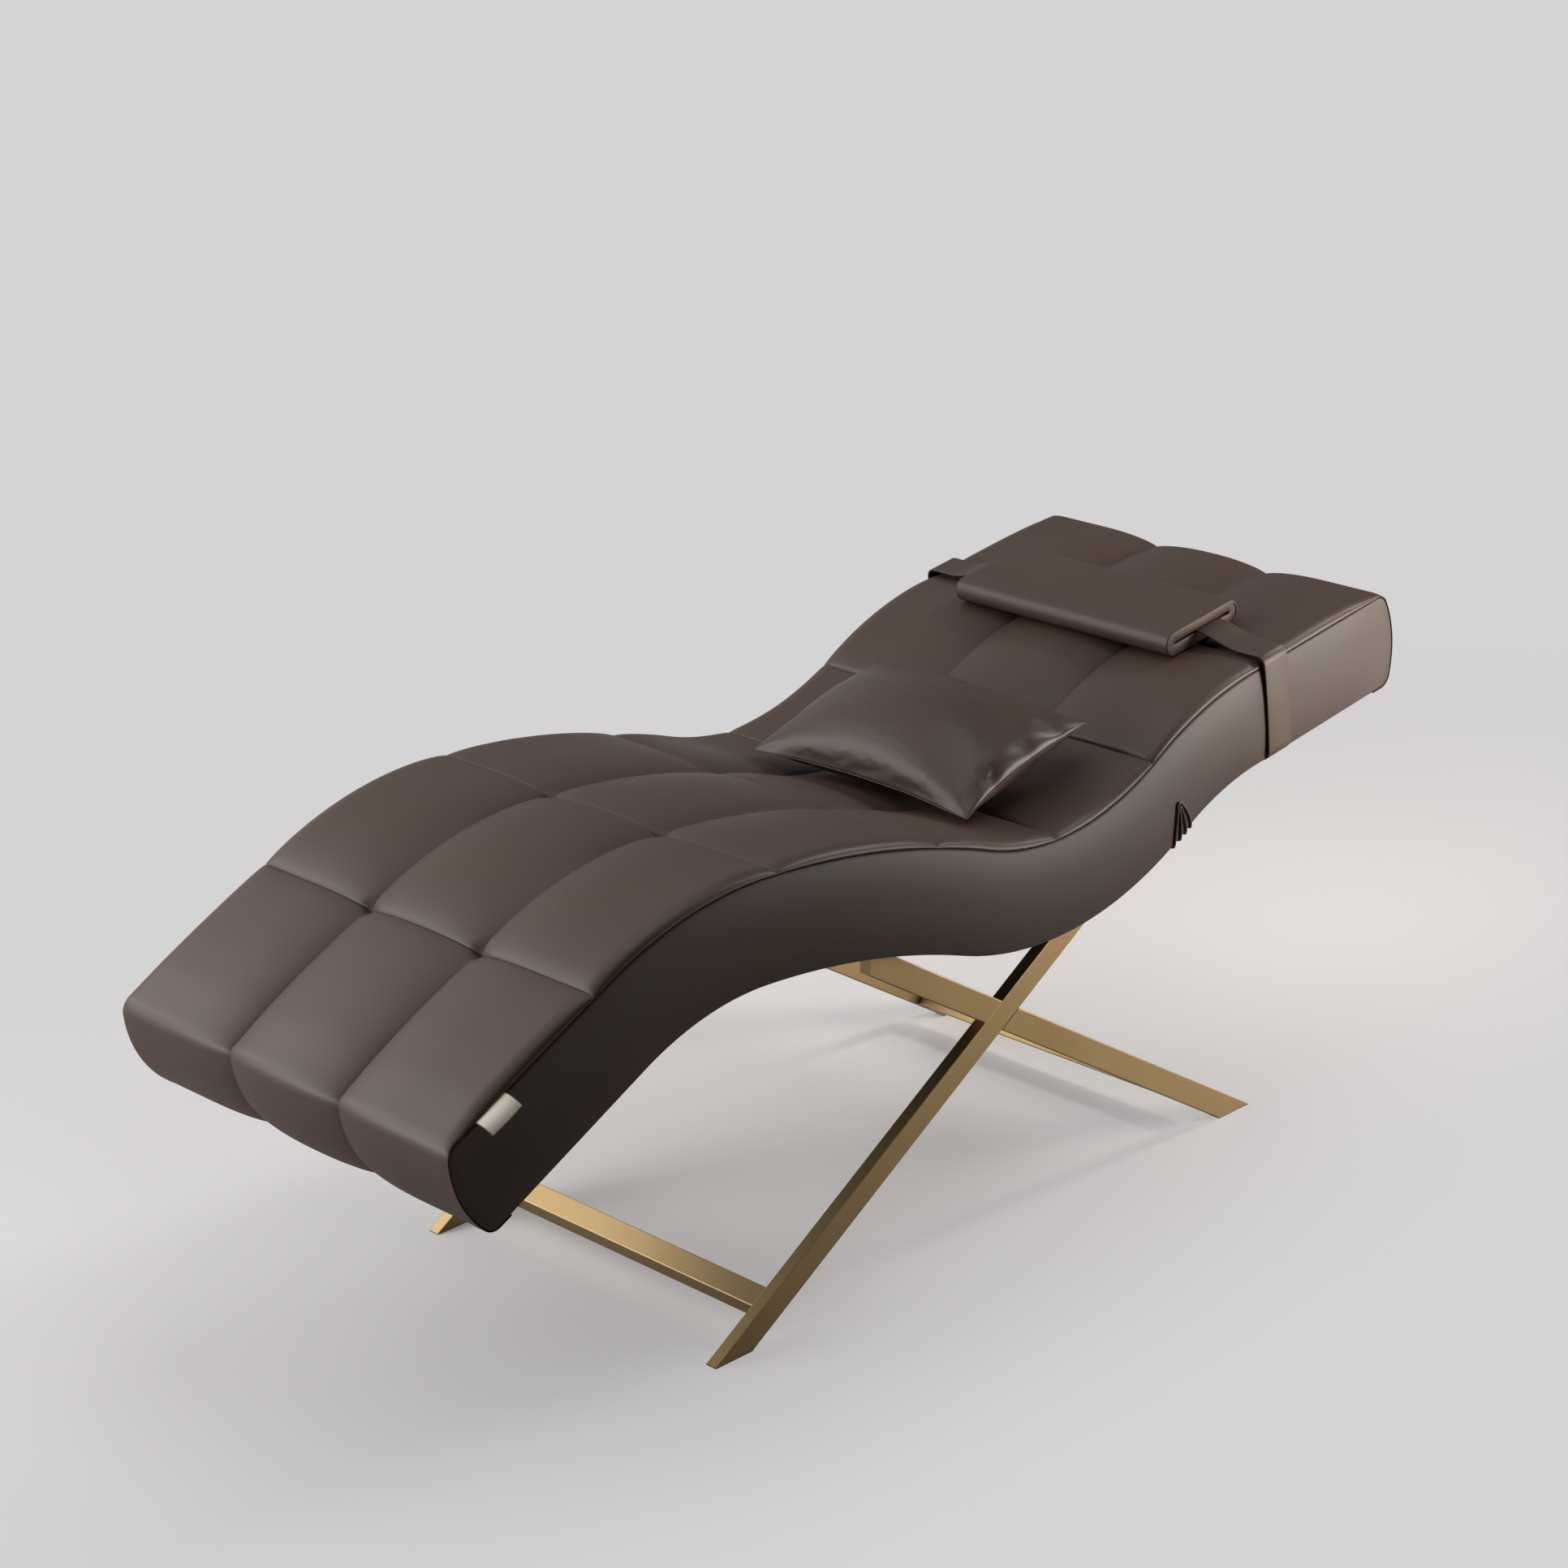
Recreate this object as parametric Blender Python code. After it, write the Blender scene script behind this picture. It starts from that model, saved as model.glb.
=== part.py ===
# Treatment bed for eyelash work: a wave-shaped, quilted mattress on a welded cross of flat tube,
# with a loose pillow and a neck pad held by an elastic strap.
# Metres, +Z up. X runs across the bed, +Y towards the head end, and the floor is z = 0.

import math

import bmesh
import bpy
from mathutils import Matrix, Vector

# Fit
FIT_GAP = 0.0003             # clearance between pieces that touch
CUT_OVERRUN = 0.010          # how far a cut runs past what it cuts
SMOOTH_ANGLE = math.radians(40)   # edges flatter than this are shaded smooth

# Mattress: its side profile is a straight, four arcs and a straight
BED_WIDTH = 0.650
BED_THICKNESS = 0.150
FOOT_END_HEIGHT = 0.430      # middle of the foot end above the floor
FOOT_SLOPE = math.radians(27.15)
FOOT_STRAIGHT = 0.295
KNEE_RADIUS = 0.515
KNEE_TURN = math.radians(-29.85)
THIGH_RADIUS = 1.434
THIGH_TURN = math.radians(-16.5)
SEAT_RADIUS = 0.501
SEAT_TURN = math.radians(50.5)
NECK_RADIUS = 0.520
NECK_TURN = math.radians(-22.65)
HEAD_STRAIGHT = 0.331
END_RADIUS = 0.167           # both ends bulge on this radius
EDGE_RADIUS = 0.022          # fillet between an end and the top or the underside
LIP_LENGTH = 0.035           # how far the quilted leather turns under at both ends

# Layers of the mattress
COVER_THICKNESS = 0.002
BOARD_THICKNESS = 0.015
PANEL_THICKNESS = 0.006
PANEL_EDGE_RADIUS = 0.003

# Quilting of the top
COLUMN_COUNT = 3
ROW_SEAM_SHARES = (0.1412, 0.2917, 0.4455, 0.5869, 0.7215, 0.8484)
ROW_STEP_SHARES = (0.04, 0.27, 0.5, 0.73, 0.96)
COLUMN_STEP_SHARES = (0.07, 0.35, 0.65, 0.93)
CROWN_POWER = 2.6            # 2 makes a cell round, more makes it flatter on top
CROWN_ROOT = 0.55
PIT_DEPTH = 0.002            # where a column groove crosses a row seam
GROOVE_LIFT = 0.004          # how much a column groove rises half-way along a cell
SEAM_CROWN = 0.009           # a row seam in the middle of a column
CELL_CROWN = 0.005           # what a cell adds to that in its middle
SIDE_ROLL = 0.022            # width in which the outer columns roll down to the side seam
SIDE_ROLL_SHARES = ((0.0, 1.0), (0.62, 0.85), (1.0, 0.42))
SEAM_STOCK = 0.0012          # least thickness of the leather over a side seam
END_FADE_SHARES = (0.03, 0.04, 0.05, 0.06, 0.1, 0.15, 0.24, 0.38, 0.86)
END_GROOVE_DEPTH = 0.0085    # how deep a column groove is where it goes down an end
END_GROOVE_SHARES = (0.15, 0.35, 0.6, 0.9, 1.0, 1.0, 1.0, 0.9, 0.3)

# Blank fabric tab in the near side seam
TAB_LENGTH = 0.054
TAB_START = 0.052            # from the foot end, along the bed
TAB_DROP = 0.026
TAB_STAND_OFF = 0.0110
TAB_THICKNESS = 0.0011
TAB_ROOT_DEPTH = 0.0036      # how far the root sits inside the seam
TAB_STEP_COUNT = 8

# Two leather loops, one inside the other, hung round the lower edge of the near side
LOOP_SEAT_SHARE = 0.97997    # where they hang, as a share of the seat's arc
LOOP_LEAN = 0.014            # how far the tips lean towards the head end
LOOP_STEP_SHARES = (0.0, 0.3, 0.6, 1.0)
LOOP_THICKNESS = 0.0018
LOOP_DEPTH = 0.0045
LOOP_TURN_UNDER = 0.022
OUTER_LOOP_HEIGHT = 0.064
OUTER_LOOP_SPREAD = 0.040
OUTER_LOOP_TIP = 0.008
INNER_LOOP_HEIGHT = 0.056
INNER_LOOP_SPREAD = 0.012
INNER_LOOP_TIP = 0.0025

# Pillow
PILLOW_LENGTH = 0.420
PILLOW_DEPTH = 0.285
PILLOW_THICKNESS = 0.112
PILLOW_SHIFT = 0.035         # towards the near side
PILLOW_SEAT_SHARE = 0.51120  # where it lies, as a share of the seat's arc
PILLOW_RISE = 0.073          # middle of the pillow above the top of the mattress
PILLOW_TILT = math.radians(14.6)
PILLOW_LONG_PINCH_SHARE = 0.075
PILLOW_SHORT_PINCH_SHARE = 0.055
PILLOW_FULLNESS = 0.42
PILLOW_REST_GAP = 0.0010
PILLOW_LONG_STEPS = 22
PILLOW_SHORT_STEPS = 16

# Neck pad and its strap
PAD_LENGTH = 0.417
PAD_DEPTH = 0.172
PAD_THICKNESS = 0.037
PAD_PAST_NECK = 0.0376       # middle of the pad, from where the neck's arc ends
PAD_RIM_RADIUS = 0.003
SLIT_DEPTH = 0.130
SLIT_CLEARANCE = 0.0004
STRAP_WIDTH = 0.054
STRAP_THICKNESS = 0.003
STRAP_SHIFT = 0.012          # from the pad's middle towards the head end
STRAP_SIDE_GAP = 0.005
STRAP_BEND_RADIUS = 0.009
STRAP_FALL_LENGTH = 0.050    # in which the strap falls from the slit to the leather
ARC_STEP_COUNT = 6

# Crossed base of flat tube
BASE_INSET = 0.031           # from a side of the mattress to the leg under it
TUBE_DEPTH = 0.038           # seen from the side
TUBE_WIDTH = 0.020           # seen from the front
TUBE_WALL = 0.002
TUBE_EDGE = 0.0015
CROSSING_SEAT_SHARE = 0.26574   # where the legs cross, as a share of the seat's arc
CROSSING_DROP = 0.10662      # from the underside of the mattress down to the crossing
LONG_LEG_TILT = math.radians(31.9)
SHORT_LEG_TILT = math.radians(-31.0)
EDGE_TOLERANCE = math.radians(7)   # an edge this close to a direction counts as along it
SHORT_LEG_TOP = 0.0255       # length of the short leg that lies under its plate
BAR_SIZE = 0.034
BAR_UP_LEG = 0.092           # from the floor to a crossbar's middle, along the leg

# Glides under the legs
GLIDE_THICKNESS = 0.001
GLIDE_MARGIN = 0.0005        # how much smaller a glide is than the foot it is under
PLUG_LENGTH = 0.012
PLUG_CLEARANCE = 0.0004

# Mounting plates and bolts
PLATE_THICKNESS = 0.005
PLATE_MARGIN = 0.010         # how far a plate runs past the leg tops
PLATE_CORNER_RADIUS = 0.006
BOLT_DIAMETER = 0.008
BOLT_CLEARANCE = 0.0004
BOLT_GRIP = 0.011            # how deep a bolt goes into the board
BOLT_HEAD_WIDTH = 0.013
BOLT_HEAD_HEIGHT = 0.0055
BOLT_ROW_SHARES = (-0.84, -0.3, 0.3, 0.84)   # of half the plate's width

# Sizes that follow
HALF_WIDTH = BED_WIDTH / 2
HALF_THICKNESS = BED_THICKNESS / 2
INNER_HALF_WIDTH = HALF_WIDTH - PANEL_THICKNESS - FIT_GAP
BASE_WIDTH = BED_WIDTH - 2 * BASE_INSET
QUILT_THICKNESS = COVER_THICKNESS + FIT_GAP + BOARD_THICKNESS
COLUMN_WIDTH = BED_WIDTH / COLUMN_COUNT
CROWN_TOP = SEAM_CROWN + CELL_CROWN


def clear_scene():
    for item in list(bpy.data.objects):
        bpy.data.objects.remove(item, do_unlink=True)


def make_material(name, colour, roughness, metallic=0.0):
    material = bpy.data.materials.new(name)
    material.use_nodes = True
    shader = material.node_tree.nodes["Principled BSDF"]
    shader.inputs["Base Color"].default_value = (*colour, 1.0)
    shader.inputs["Roughness"].default_value = roughness
    shader.inputs["Metallic"].default_value = metallic
    material.diffuse_color = (*colour, 1.0)
    return material


def make_object(name, bm, material, parent, smooth_angle=None):
    bmesh.ops.recalc_face_normals(bm, faces=bm.faces)
    if bm.calc_volume(signed=True) < 0:
        bmesh.ops.reverse_faces(bm, faces=bm.faces)
    mesh = bpy.data.meshes.new(name)
    bm.to_mesh(mesh)
    bm.free()
    mesh.materials.append(material)
    if smooth_angle is not None:
        mesh.shade_smooth()
        mesh.set_sharp_from_angle(angle=smooth_angle)
    item = bpy.data.objects.new(name, mesh)
    bpy.context.scene.collection.objects.link(item)
    item.parent = parent
    return item


def make_empty(name, location, tilt, parent):
    item = bpy.data.objects.new(name, None)
    bpy.context.scene.collection.objects.link(item)
    item.location = location
    item.rotation_euler.x = tilt
    item.parent = parent
    return item


def cut_away(item, cutter):
    cutter.hide_render = True
    cutter.display_type = "WIRE"
    modifier = item.modifiers.new("cut_" + cutter.name, "BOOLEAN")
    modifier.operation = "DIFFERENCE"
    modifier.solver = "EXACT"
    modifier.object = cutter


# The bed's own coordinates: a station along the centreline, and a height square to it

def follow(y, z, slope, curvature, length):
    if curvature == 0:
        return y + length * math.cos(slope), z + length * math.sin(slope), slope
    end = slope + curvature * length
    return (y + (math.sin(end) - math.sin(slope)) / curvature,
            z - (math.cos(end) - math.cos(slope)) / curvature, end)


def profile_pieces():
    arcs = ((KNEE_RADIUS, KNEE_TURN), (THIGH_RADIUS, THIGH_TURN),
            (SEAT_RADIUS, SEAT_TURN), (NECK_RADIUS, NECK_TURN))
    runs = [(FOOT_STRAIGHT, 0.0)]
    runs += [(radius * abs(turn), math.copysign(1.0, turn) / radius) for radius, turn in arcs]
    runs.append((HEAD_STRAIGHT, 0.0))
    pieces = []
    station = 0.0
    y, z, slope = 0.0, FOOT_END_HEIGHT, FOOT_SLOPE
    for length, curvature in runs:
        pieces.append((station, y, z, slope, curvature))
        y, z, slope = follow(y, z, slope, curvature, length)
        station += length
    return pieces, station


PIECES, BED_LENGTH = profile_pieces()
SEAT_START = PIECES[3][0]
SEAT_END = PIECES[4][0]
NECK_END = PIECES[5][0]


def bed_frame(station):
    chosen = PIECES[0]
    for piece in PIECES:
        if station >= piece[0]:
            chosen = piece
    start, y, z, slope, curvature = chosen
    return follow(y, z, slope, curvature, station - start)


def bed_point(station, height):
    y, z, slope = bed_frame(station)
    return y - height * math.sin(slope), z + height * math.cos(slope)


def seat_station(share):
    return SEAT_START + (SEAT_END - SEAT_START) * share


def bed_place(y, z):
    steps = 400
    samples = [BED_LENGTH * index / steps for index in range(steps + 1)]

    def distance(station):
        at_y, at_z, _ = bed_frame(station)
        return (at_y - y) ** 2 + (at_z - z) ** 2

    station = min(samples, key=distance)
    for _ in range(4):
        at_y, at_z, slope = bed_frame(station)
        station += (y - at_y) * math.cos(slope) + (z - at_z) * math.sin(slope)
    at_y, at_z, slope = bed_frame(station)
    return station, (z - at_z) * math.cos(slope) - (y - at_y) * math.sin(slope)


# The outline of the mattress seen from the side

def end_points():
    # From the underside to the top as (outward, height, direction), outward from the end's chord
    reach = math.sqrt(END_RADIUS ** 2 - HALF_THICKNESS ** 2)
    fillet_height = HALF_THICKNESS - EDGE_RADIUS
    fillet_out = math.sqrt((END_RADIUS - EDGE_RADIUS) ** 2 - fillet_height ** 2) - reach
    turn = math.atan2(fillet_height, fillet_out + reach)
    quarter = math.pi / 2
    points = []
    for angle in (-quarter, -(quarter + turn) / 2):
        points.append((fillet_out + EDGE_RADIUS * math.cos(angle),
                       -fillet_height + EDGE_RADIUS * math.sin(angle), angle))
    for angle in (-turn, 0.0, turn):
        points.append((END_RADIUS * math.cos(angle) - reach, END_RADIUS * math.sin(angle), angle))
    for angle in ((quarter + turn) / 2, quarter):
        points.append((fillet_out + EDGE_RADIUS * math.cos(angle),
                       fillet_height + EDGE_RADIUS * math.sin(angle), angle))
    return points


def row_bounds():
    return [0.0] + [BED_LENGTH * share for share in ROW_SEAM_SHARES] + [BED_LENGTH]


def top_stations():
    # Stations between the two end fillets, closer together beside each row seam
    tangent = end_points()[-1][0]
    bounds = row_bounds()
    stations = []
    for low, high in zip(bounds, bounds[1:]):
        stations.append(low)
        stations += [low + (high - low) * share for share in ROW_STEP_SHARES]
    room = abs(tangent) + EDGE_RADIUS / 2
    return [station for station in stations if room < station < BED_LENGTH - room]


def skin_point(station, height):
    # The same place on the straight facets between two stations
    stops = [0.0] + top_stations() + [BED_LENGTH]
    for low, high in zip(stops, stops[1:]):
        if station <= high:
            break
    share = (station - low) / (high - low)
    return tuple(Vector(bed_point(low, height)).lerp(Vector(bed_point(high, height)), share))


def outline_path():
    # Foot end, top and head end as (station, height, along, up): the last two are the outward normal
    path = []
    for out, height, angle in end_points():
        path.append((-out, height, -math.cos(angle), math.sin(angle)))
    for station in top_stations():
        path.append((station, HALF_THICKNESS, 0.0, 1.0))
    for out, height, angle in reversed(end_points()):
        path.append((BED_LENGTH + out, height, math.cos(angle), math.sin(angle)))
    return path


def closed_outline(inset):
    points = [bed_point(station - along * inset, height - up * inset)
              for station, height, along, up in outline_path()]
    points += [bed_point(station, inset - HALF_THICKNESS) for station in reversed(top_stations())]
    return points


# The quilted top

def crown(share):
    return max(0.0, 1.0 - abs(2.0 * share - 1.0) ** CROWN_POWER) ** CROWN_ROOT


def row_fullness(station):
    bounds = row_bounds()
    last = len(bounds) - 2
    for index, (low, high) in enumerate(zip(bounds, bounds[1:])):
        if station < high or index == last:
            share = (station - low) / (high - low)
            if index == 0:
                share = max(share, 0.5)
            if index == last:
                share = min(share, 0.5)
            return crown(share)
    return 0.0


def column_fullness(x):
    groove = COLUMN_WIDTH / 2
    if abs(x) < groove:
        return crown((x + groove) / COLUMN_WIDTH)
    return crown(min((abs(x) - groove) / COLUMN_WIDTH, 0.5))


def crown_height(x, station):
    row = row_fullness(station)
    column = column_fullness(x)
    groove = GROOVE_LIFT * row - PIT_DEPTH
    cell = SEAM_CROWN + CELL_CROWN * row
    return groove * (1.0 - column) + cell * column


def quilt_section():
    # From the far seam to the near seam as (x, roll share)
    groove = COLUMN_WIDTH / 2
    half = [(-groove + COLUMN_WIDTH * share, 1.0) for share in COLUMN_STEP_SHARES if share > 0.5]
    half.append((groove, 1.0))
    half += [(groove + COLUMN_WIDTH * share, 1.0) for share in COLUMN_STEP_SHARES if share < 0.7]
    half += [(HALF_WIDTH - SIDE_ROLL * (1.0 - out), drop) for out, drop in SIDE_ROLL_SHARES]
    half.append((INNER_HALF_WIDTH, 0.0))
    return [(-x, share) for x, share in reversed(half)] + half


def quilted_top(material, parent):
    path = outline_path()
    lip_out = (LIP_LENGTH, -HALF_THICKNESS, 0.0, -1.0)
    far_lip = (BED_LENGTH - LIP_LENGTH, -HALF_THICKNESS, 0.0, -1.0)
    path = [lip_out] + path + [far_lip]
    fades = [1.0] * len(path)
    pulls = [0.0] * len(path)
    for index, (fade, pull) in enumerate(zip(END_FADE_SHARES, END_GROOVE_SHARES)):
        for place in (index, len(path) - 1 - index):
            fades[place] = fade
            pulls[place] = pull * END_GROOVE_DEPTH
    bm = bmesh.new()
    rings = []
    for (station, height, along, up), fade, pull in zip(path, fades, pulls):
        ring = []
        inner = bed_point(station - along * QUILT_THICKNESS, height - up * QUILT_THICKNESS)
        ring.append(bm.verts.new((-INNER_HALF_WIDTH, *inner)))
        for x, roll in quilt_section():
            lift = crown_height(x, station) * fade * roll - pull * (1.0 - column_fullness(x))
            if 0.0 < roll < 1.0:
                lift = max(lift, SEAM_STOCK)
            ring.append(bm.verts.new((x, *bed_point(station + along * lift, height + up * lift))))
        ring.append(bm.verts.new((INNER_HALF_WIDTH, *inner)))
        rings.append(ring)
    for ring, following in zip(rings, rings[1:]):
        for index in range(len(ring)):
            after = (index + 1) % len(ring)
            bm.faces.new((ring[index], ring[after], following[after], following[index]))
    bm.faces.new(rings[0])
    bm.faces.new(rings[-1])
    reach = [vert.co.y for vert in bm.verts]
    item = make_object("quilted_top", bm, material, parent, SMOOTH_ANGLE)
    return item, (min(reach) + max(reach)) / 2


# Extruded pieces

def extrude_profile(points, x_low, x_high):
    bm = bmesh.new()
    low = [bm.verts.new((x_low, y, z)) for y, z in points]
    high = [bm.verts.new((x_high, y, z)) for y, z in points]
    for index in range(len(points)):
        after = (index + 1) % len(points)
        bm.faces.new((low[index], low[after], high[after], high[index]))
    bm.faces.new(low)
    bm.faces.new(high)
    bmesh.ops.recalc_face_normals(bm, faces=bm.faces)
    bm.normal_update()
    return bm


def bent_layer(name, low, high, material, parent):
    # A sheet bent to the bed's curve, between the two turned-under lips
    end = LIP_LENGTH + FIT_GAP
    stations = [end] + [s for s in top_stations() if end < s < BED_LENGTH - end] + [BED_LENGTH - end]
    points = [bed_point(station, low) for station in stations]
    points += [bed_point(station, high) for station in reversed(stations)]
    bm = extrude_profile(points, -INNER_HALF_WIDTH, INNER_HALF_WIDTH)
    return make_object(name, bm, material, parent, SMOOTH_ANGLE)


def foam_core(material, parent):
    bm = extrude_profile(closed_outline(QUILT_THICKNESS + FIT_GAP), -INNER_HALF_WIDTH, INNER_HALF_WIDTH)
    return make_object("foam_core", bm, material, parent, SMOOTH_ANGLE)


def side_panel(name, side, material, parent):
    inner, outer = side * (HALF_WIDTH - PANEL_THICKNESS), side * HALF_WIDTH
    bm = extrude_profile(closed_outline(FIT_GAP), inner, outer)
    rim = [edge for edge in bm.edges if all(vert.co.x * side > outer * side - FIT_GAP for vert in edge.verts)]
    bmesh.ops.bevel(bm, geom=rim, offset=PANEL_EDGE_RADIUS, segments=2, profile=0.5, affect="EDGES")
    return make_object(name, bm, material, parent, SMOOTH_ANGLE)


def label_tab(material, parent):
    # A folded strip sewn into the seam: out of the seam, round and down
    root_x = HALF_WIDTH - TAB_ROOT_DEPTH
    root_height = HALF_THICKNESS + TAB_THICKNESS / 2
    path = []
    for index in range(TAB_STEP_COUNT + 1):
        angle = math.pi / 2 * index / TAB_STEP_COUNT
        path.append(Vector((root_x + TAB_STAND_OFF * math.sin(angle),
                            root_height - TAB_DROP * (1.0 - math.cos(angle)))))
    section = thicken(path, TAB_THICKNESS)
    bm = bmesh.new()
    rings = []
    for station in (TAB_START, TAB_START + TAB_LENGTH):
        rings.append([bm.verts.new((x, *bed_point(station, height))) for x, height in section])
    join_rings(bm, rings)
    return make_object("label_tab", bm, material, parent, SMOOTH_ANGLE)


def thicken(path, thickness):
    # Both edges of a flat path, as one closed outline
    left, right = [], []
    for index, point in enumerate(path):
        before = path[max(index - 1, 0)]
        after = path[min(index + 1, len(path) - 1)]
        across = (after - before).normalized().orthogonal() * thickness / 2
        left.append(point + across)
        right.append(point - across)
    return left + right[::-1]


def join_rings(bm, rings, closed=False):
    pairs = list(zip(rings, rings[1:]))
    if closed:
        pairs.append((rings[-1], rings[0]))
    for ring, following in pairs:
        for index in range(len(ring)):
            after = (index + 1) % len(ring)
            bm.faces.new((ring[index], ring[after], following[after], following[index]))
    if not closed:
        bm.faces.new(rings[0])
        bm.faces.new(rings[-1])


# Side loops

def loop_strand_path(height, spread, tip):
    # One loop flat against the side as (station, height), foot to tip to foot
    foot = -HALF_THICKNESS
    half = []
    straight = height - tip / 2
    for share in LOOP_STEP_SHARES:
        bow = math.sin(math.pi / 2 * share)
        width = spread / 2 + (tip / 2 - spread / 2) * (0.5 * share + 0.5 * bow)
        half.append((width, straight * share))
    for step in (1, 2):
        angle = math.pi / 6 * step
        half.append((tip / 2 * math.cos(angle), straight + tip / 2 * math.sin(angle)))
    rise = [(-width, up) for width, up in half] + [(0.0, height)]
    fall = list(reversed(half))
    middle = seat_station(LOOP_SEAT_SHARE)
    return [(middle + across + LOOP_LEAN * up / OUTER_LOOP_HEIGHT, foot + up)
            for across, up in rise + fall]


def side_loop(name, height, spread, tip, material, parent):
    strand = loop_strand_path(height, spread, tip)
    side_x = HALF_WIDTH + FIT_GAP + LOOP_DEPTH / 2
    under = -HALF_THICKNESS - FIT_GAP - LOOP_DEPTH / 2
    bm = bmesh.new()
    rings = []

    def ring(x, station, level, thick, depth):
        corners = []
        for across, away in ((-1, -1), (1, -1), (1, 1), (-1, 1)):
            px = x + away * depth[0] * LOOP_DEPTH / 2
            at = station + across * thick[0] * LOOP_THICKNESS / 2
            up = level + across * thick[1] * LOOP_THICKNESS / 2 + away * depth[1] * LOOP_DEPTH / 2
            corners.append(bm.verts.new((px, *skin_point(at, up))))
        rings.append(corners)

    first, last = strand[0][0], strand[-1][0]
    ring(HALF_WIDTH - LOOP_TURN_UNDER, first, under, (1, 0), (0, -1))
    ring(side_x, first, under, (1, 0), (1, -1))
    for index in range(1, len(strand) - 1):
        before, after = Vector(strand[index - 1]), Vector(strand[index + 1])
        run = (after - before).normalized()
        ring(side_x, *strand[index], (run.y, -run.x), (1, 0))
    ring(side_x, last, under, (-1, 0), (1, -1))
    ring(HALF_WIDTH - LOOP_TURN_UNDER, last, under, (-1, 0), (0, -1))
    join_rings(bm, rings)
    return make_object(name, bm, material, parent)


# Pillow

def pillow_point(u, v, side):
    x = PILLOW_LENGTH / 2 * u * (1.0 - PILLOW_SHORT_PINCH_SHARE * (1.0 - v * v))
    y = PILLOW_DEPTH / 2 * v * (1.0 - PILLOW_LONG_PINCH_SHARE * (1.0 - u * u))
    full = ((1.0 - u * u) * (1.0 - v * v)) ** PILLOW_FULLNESS
    return Vector((x, y, side * PILLOW_THICKNESS / 2 * full))


def pillow(material, parent):
    centre = bed_point(seat_station(PILLOW_SEAT_SHARE), HALF_THICKNESS + PILLOW_RISE)
    place = Matrix.Translation((PILLOW_SHIFT, *centre)) @ Matrix.Rotation(PILLOW_TILT, 4, "X")
    back = place.inverted()

    def seated(point):
        # Nothing of the pillow goes below the quilted top
        at = place @ point
        station, height = bed_place(at.y, at.z)
        floor = HALF_THICKNESS + crown_height(at.x, station) + PILLOW_REST_GAP
        if height >= floor:
            return point
        return back @ Vector((at.x, *bed_point(station, floor)))

    bm = bmesh.new()
    grids = {}
    for side in (1, -1):
        for i in range(PILLOW_LONG_STEPS + 1):
            for j in range(PILLOW_SHORT_STEPS + 1):
                rim = i in (0, PILLOW_LONG_STEPS) or j in (0, PILLOW_SHORT_STEPS)
                if rim and side == -1:
                    grids[side, i, j] = grids[1, i, j]
                    continue
                u = -math.cos(math.pi * i / PILLOW_LONG_STEPS)
                v = -math.cos(math.pi * j / PILLOW_SHORT_STEPS)
                grids[side, i, j] = bm.verts.new(seated(pillow_point(u, v, side)))
    for side in (1, -1):
        for i in range(PILLOW_LONG_STEPS):
            for j in range(PILLOW_SHORT_STEPS):
                corners = (grids[side, i, j], grids[side, i + 1, j],
                           grids[side, i + 1, j + 1], grids[side, i, j + 1])
                bm.faces.new(corners)
    item = make_object("pillow", bm, material, parent, math.radians(60))
    item.location = place.translation
    item.rotation_euler.x = PILLOW_TILT
    return item


# Neck pad and strap, both drawn about the middle of the pad

def stadium(depth, thickness):
    radius = thickness / 2
    points = []
    for side, start in ((1, -math.pi / 2), (-1, math.pi / 2)):
        for index in range(ARC_STEP_COUNT + 1):
            angle = start + math.pi * index / ARC_STEP_COUNT
            points.append((side * (depth / 2 - radius) + radius * math.cos(angle),
                           radius * math.sin(angle)))
    return points


def neck_pad(material, parent):
    outer = stadium(PAD_DEPTH, PAD_THICKNESS)
    slit = stadium(SLIT_DEPTH, STRAP_THICKNESS + 2 * SLIT_CLEARANCE)
    bm = bmesh.new()
    loops = []
    for x, outline in ((-PAD_LENGTH / 2, outer), (PAD_LENGTH / 2, outer),
                       (PAD_LENGTH / 2, slit), (-PAD_LENGTH / 2, slit)):
        loops.append([bm.verts.new((x, y, z)) for y, z in outline])
    join_rings(bm, loops, closed=True)
    bmesh.ops.recalc_face_normals(bm, faces=bm.faces)
    bm.normal_update()
    rim = [edge for edge in bm.edges
           if abs(edge.verts[0].co.x - edge.verts[1].co.x) < FIT_GAP
           and all(abs(vert.co.z) > PAD_THICKNESS / 4 or abs(vert.co.y) > (SLIT_DEPTH + FIT_GAP) / 2
                   for vert in edge.verts)]
    rim = [edge for edge in rim if len(edge.link_faces) == 2
           and abs(edge.link_faces[0].normal.dot(edge.link_faces[1].normal)) < 0.5]
    bmesh.ops.bevel(bm, geom=rim, offset=PAD_RIM_RADIUS, segments=2, profile=0.5, affect="EDGES")
    return make_object("neck_pad", bm, material, parent, SMOOTH_ANGLE)


def pad_height():
    return HALF_THICKNESS + CROWN_TOP + FIT_GAP + PAD_THICKNESS / 2


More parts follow.
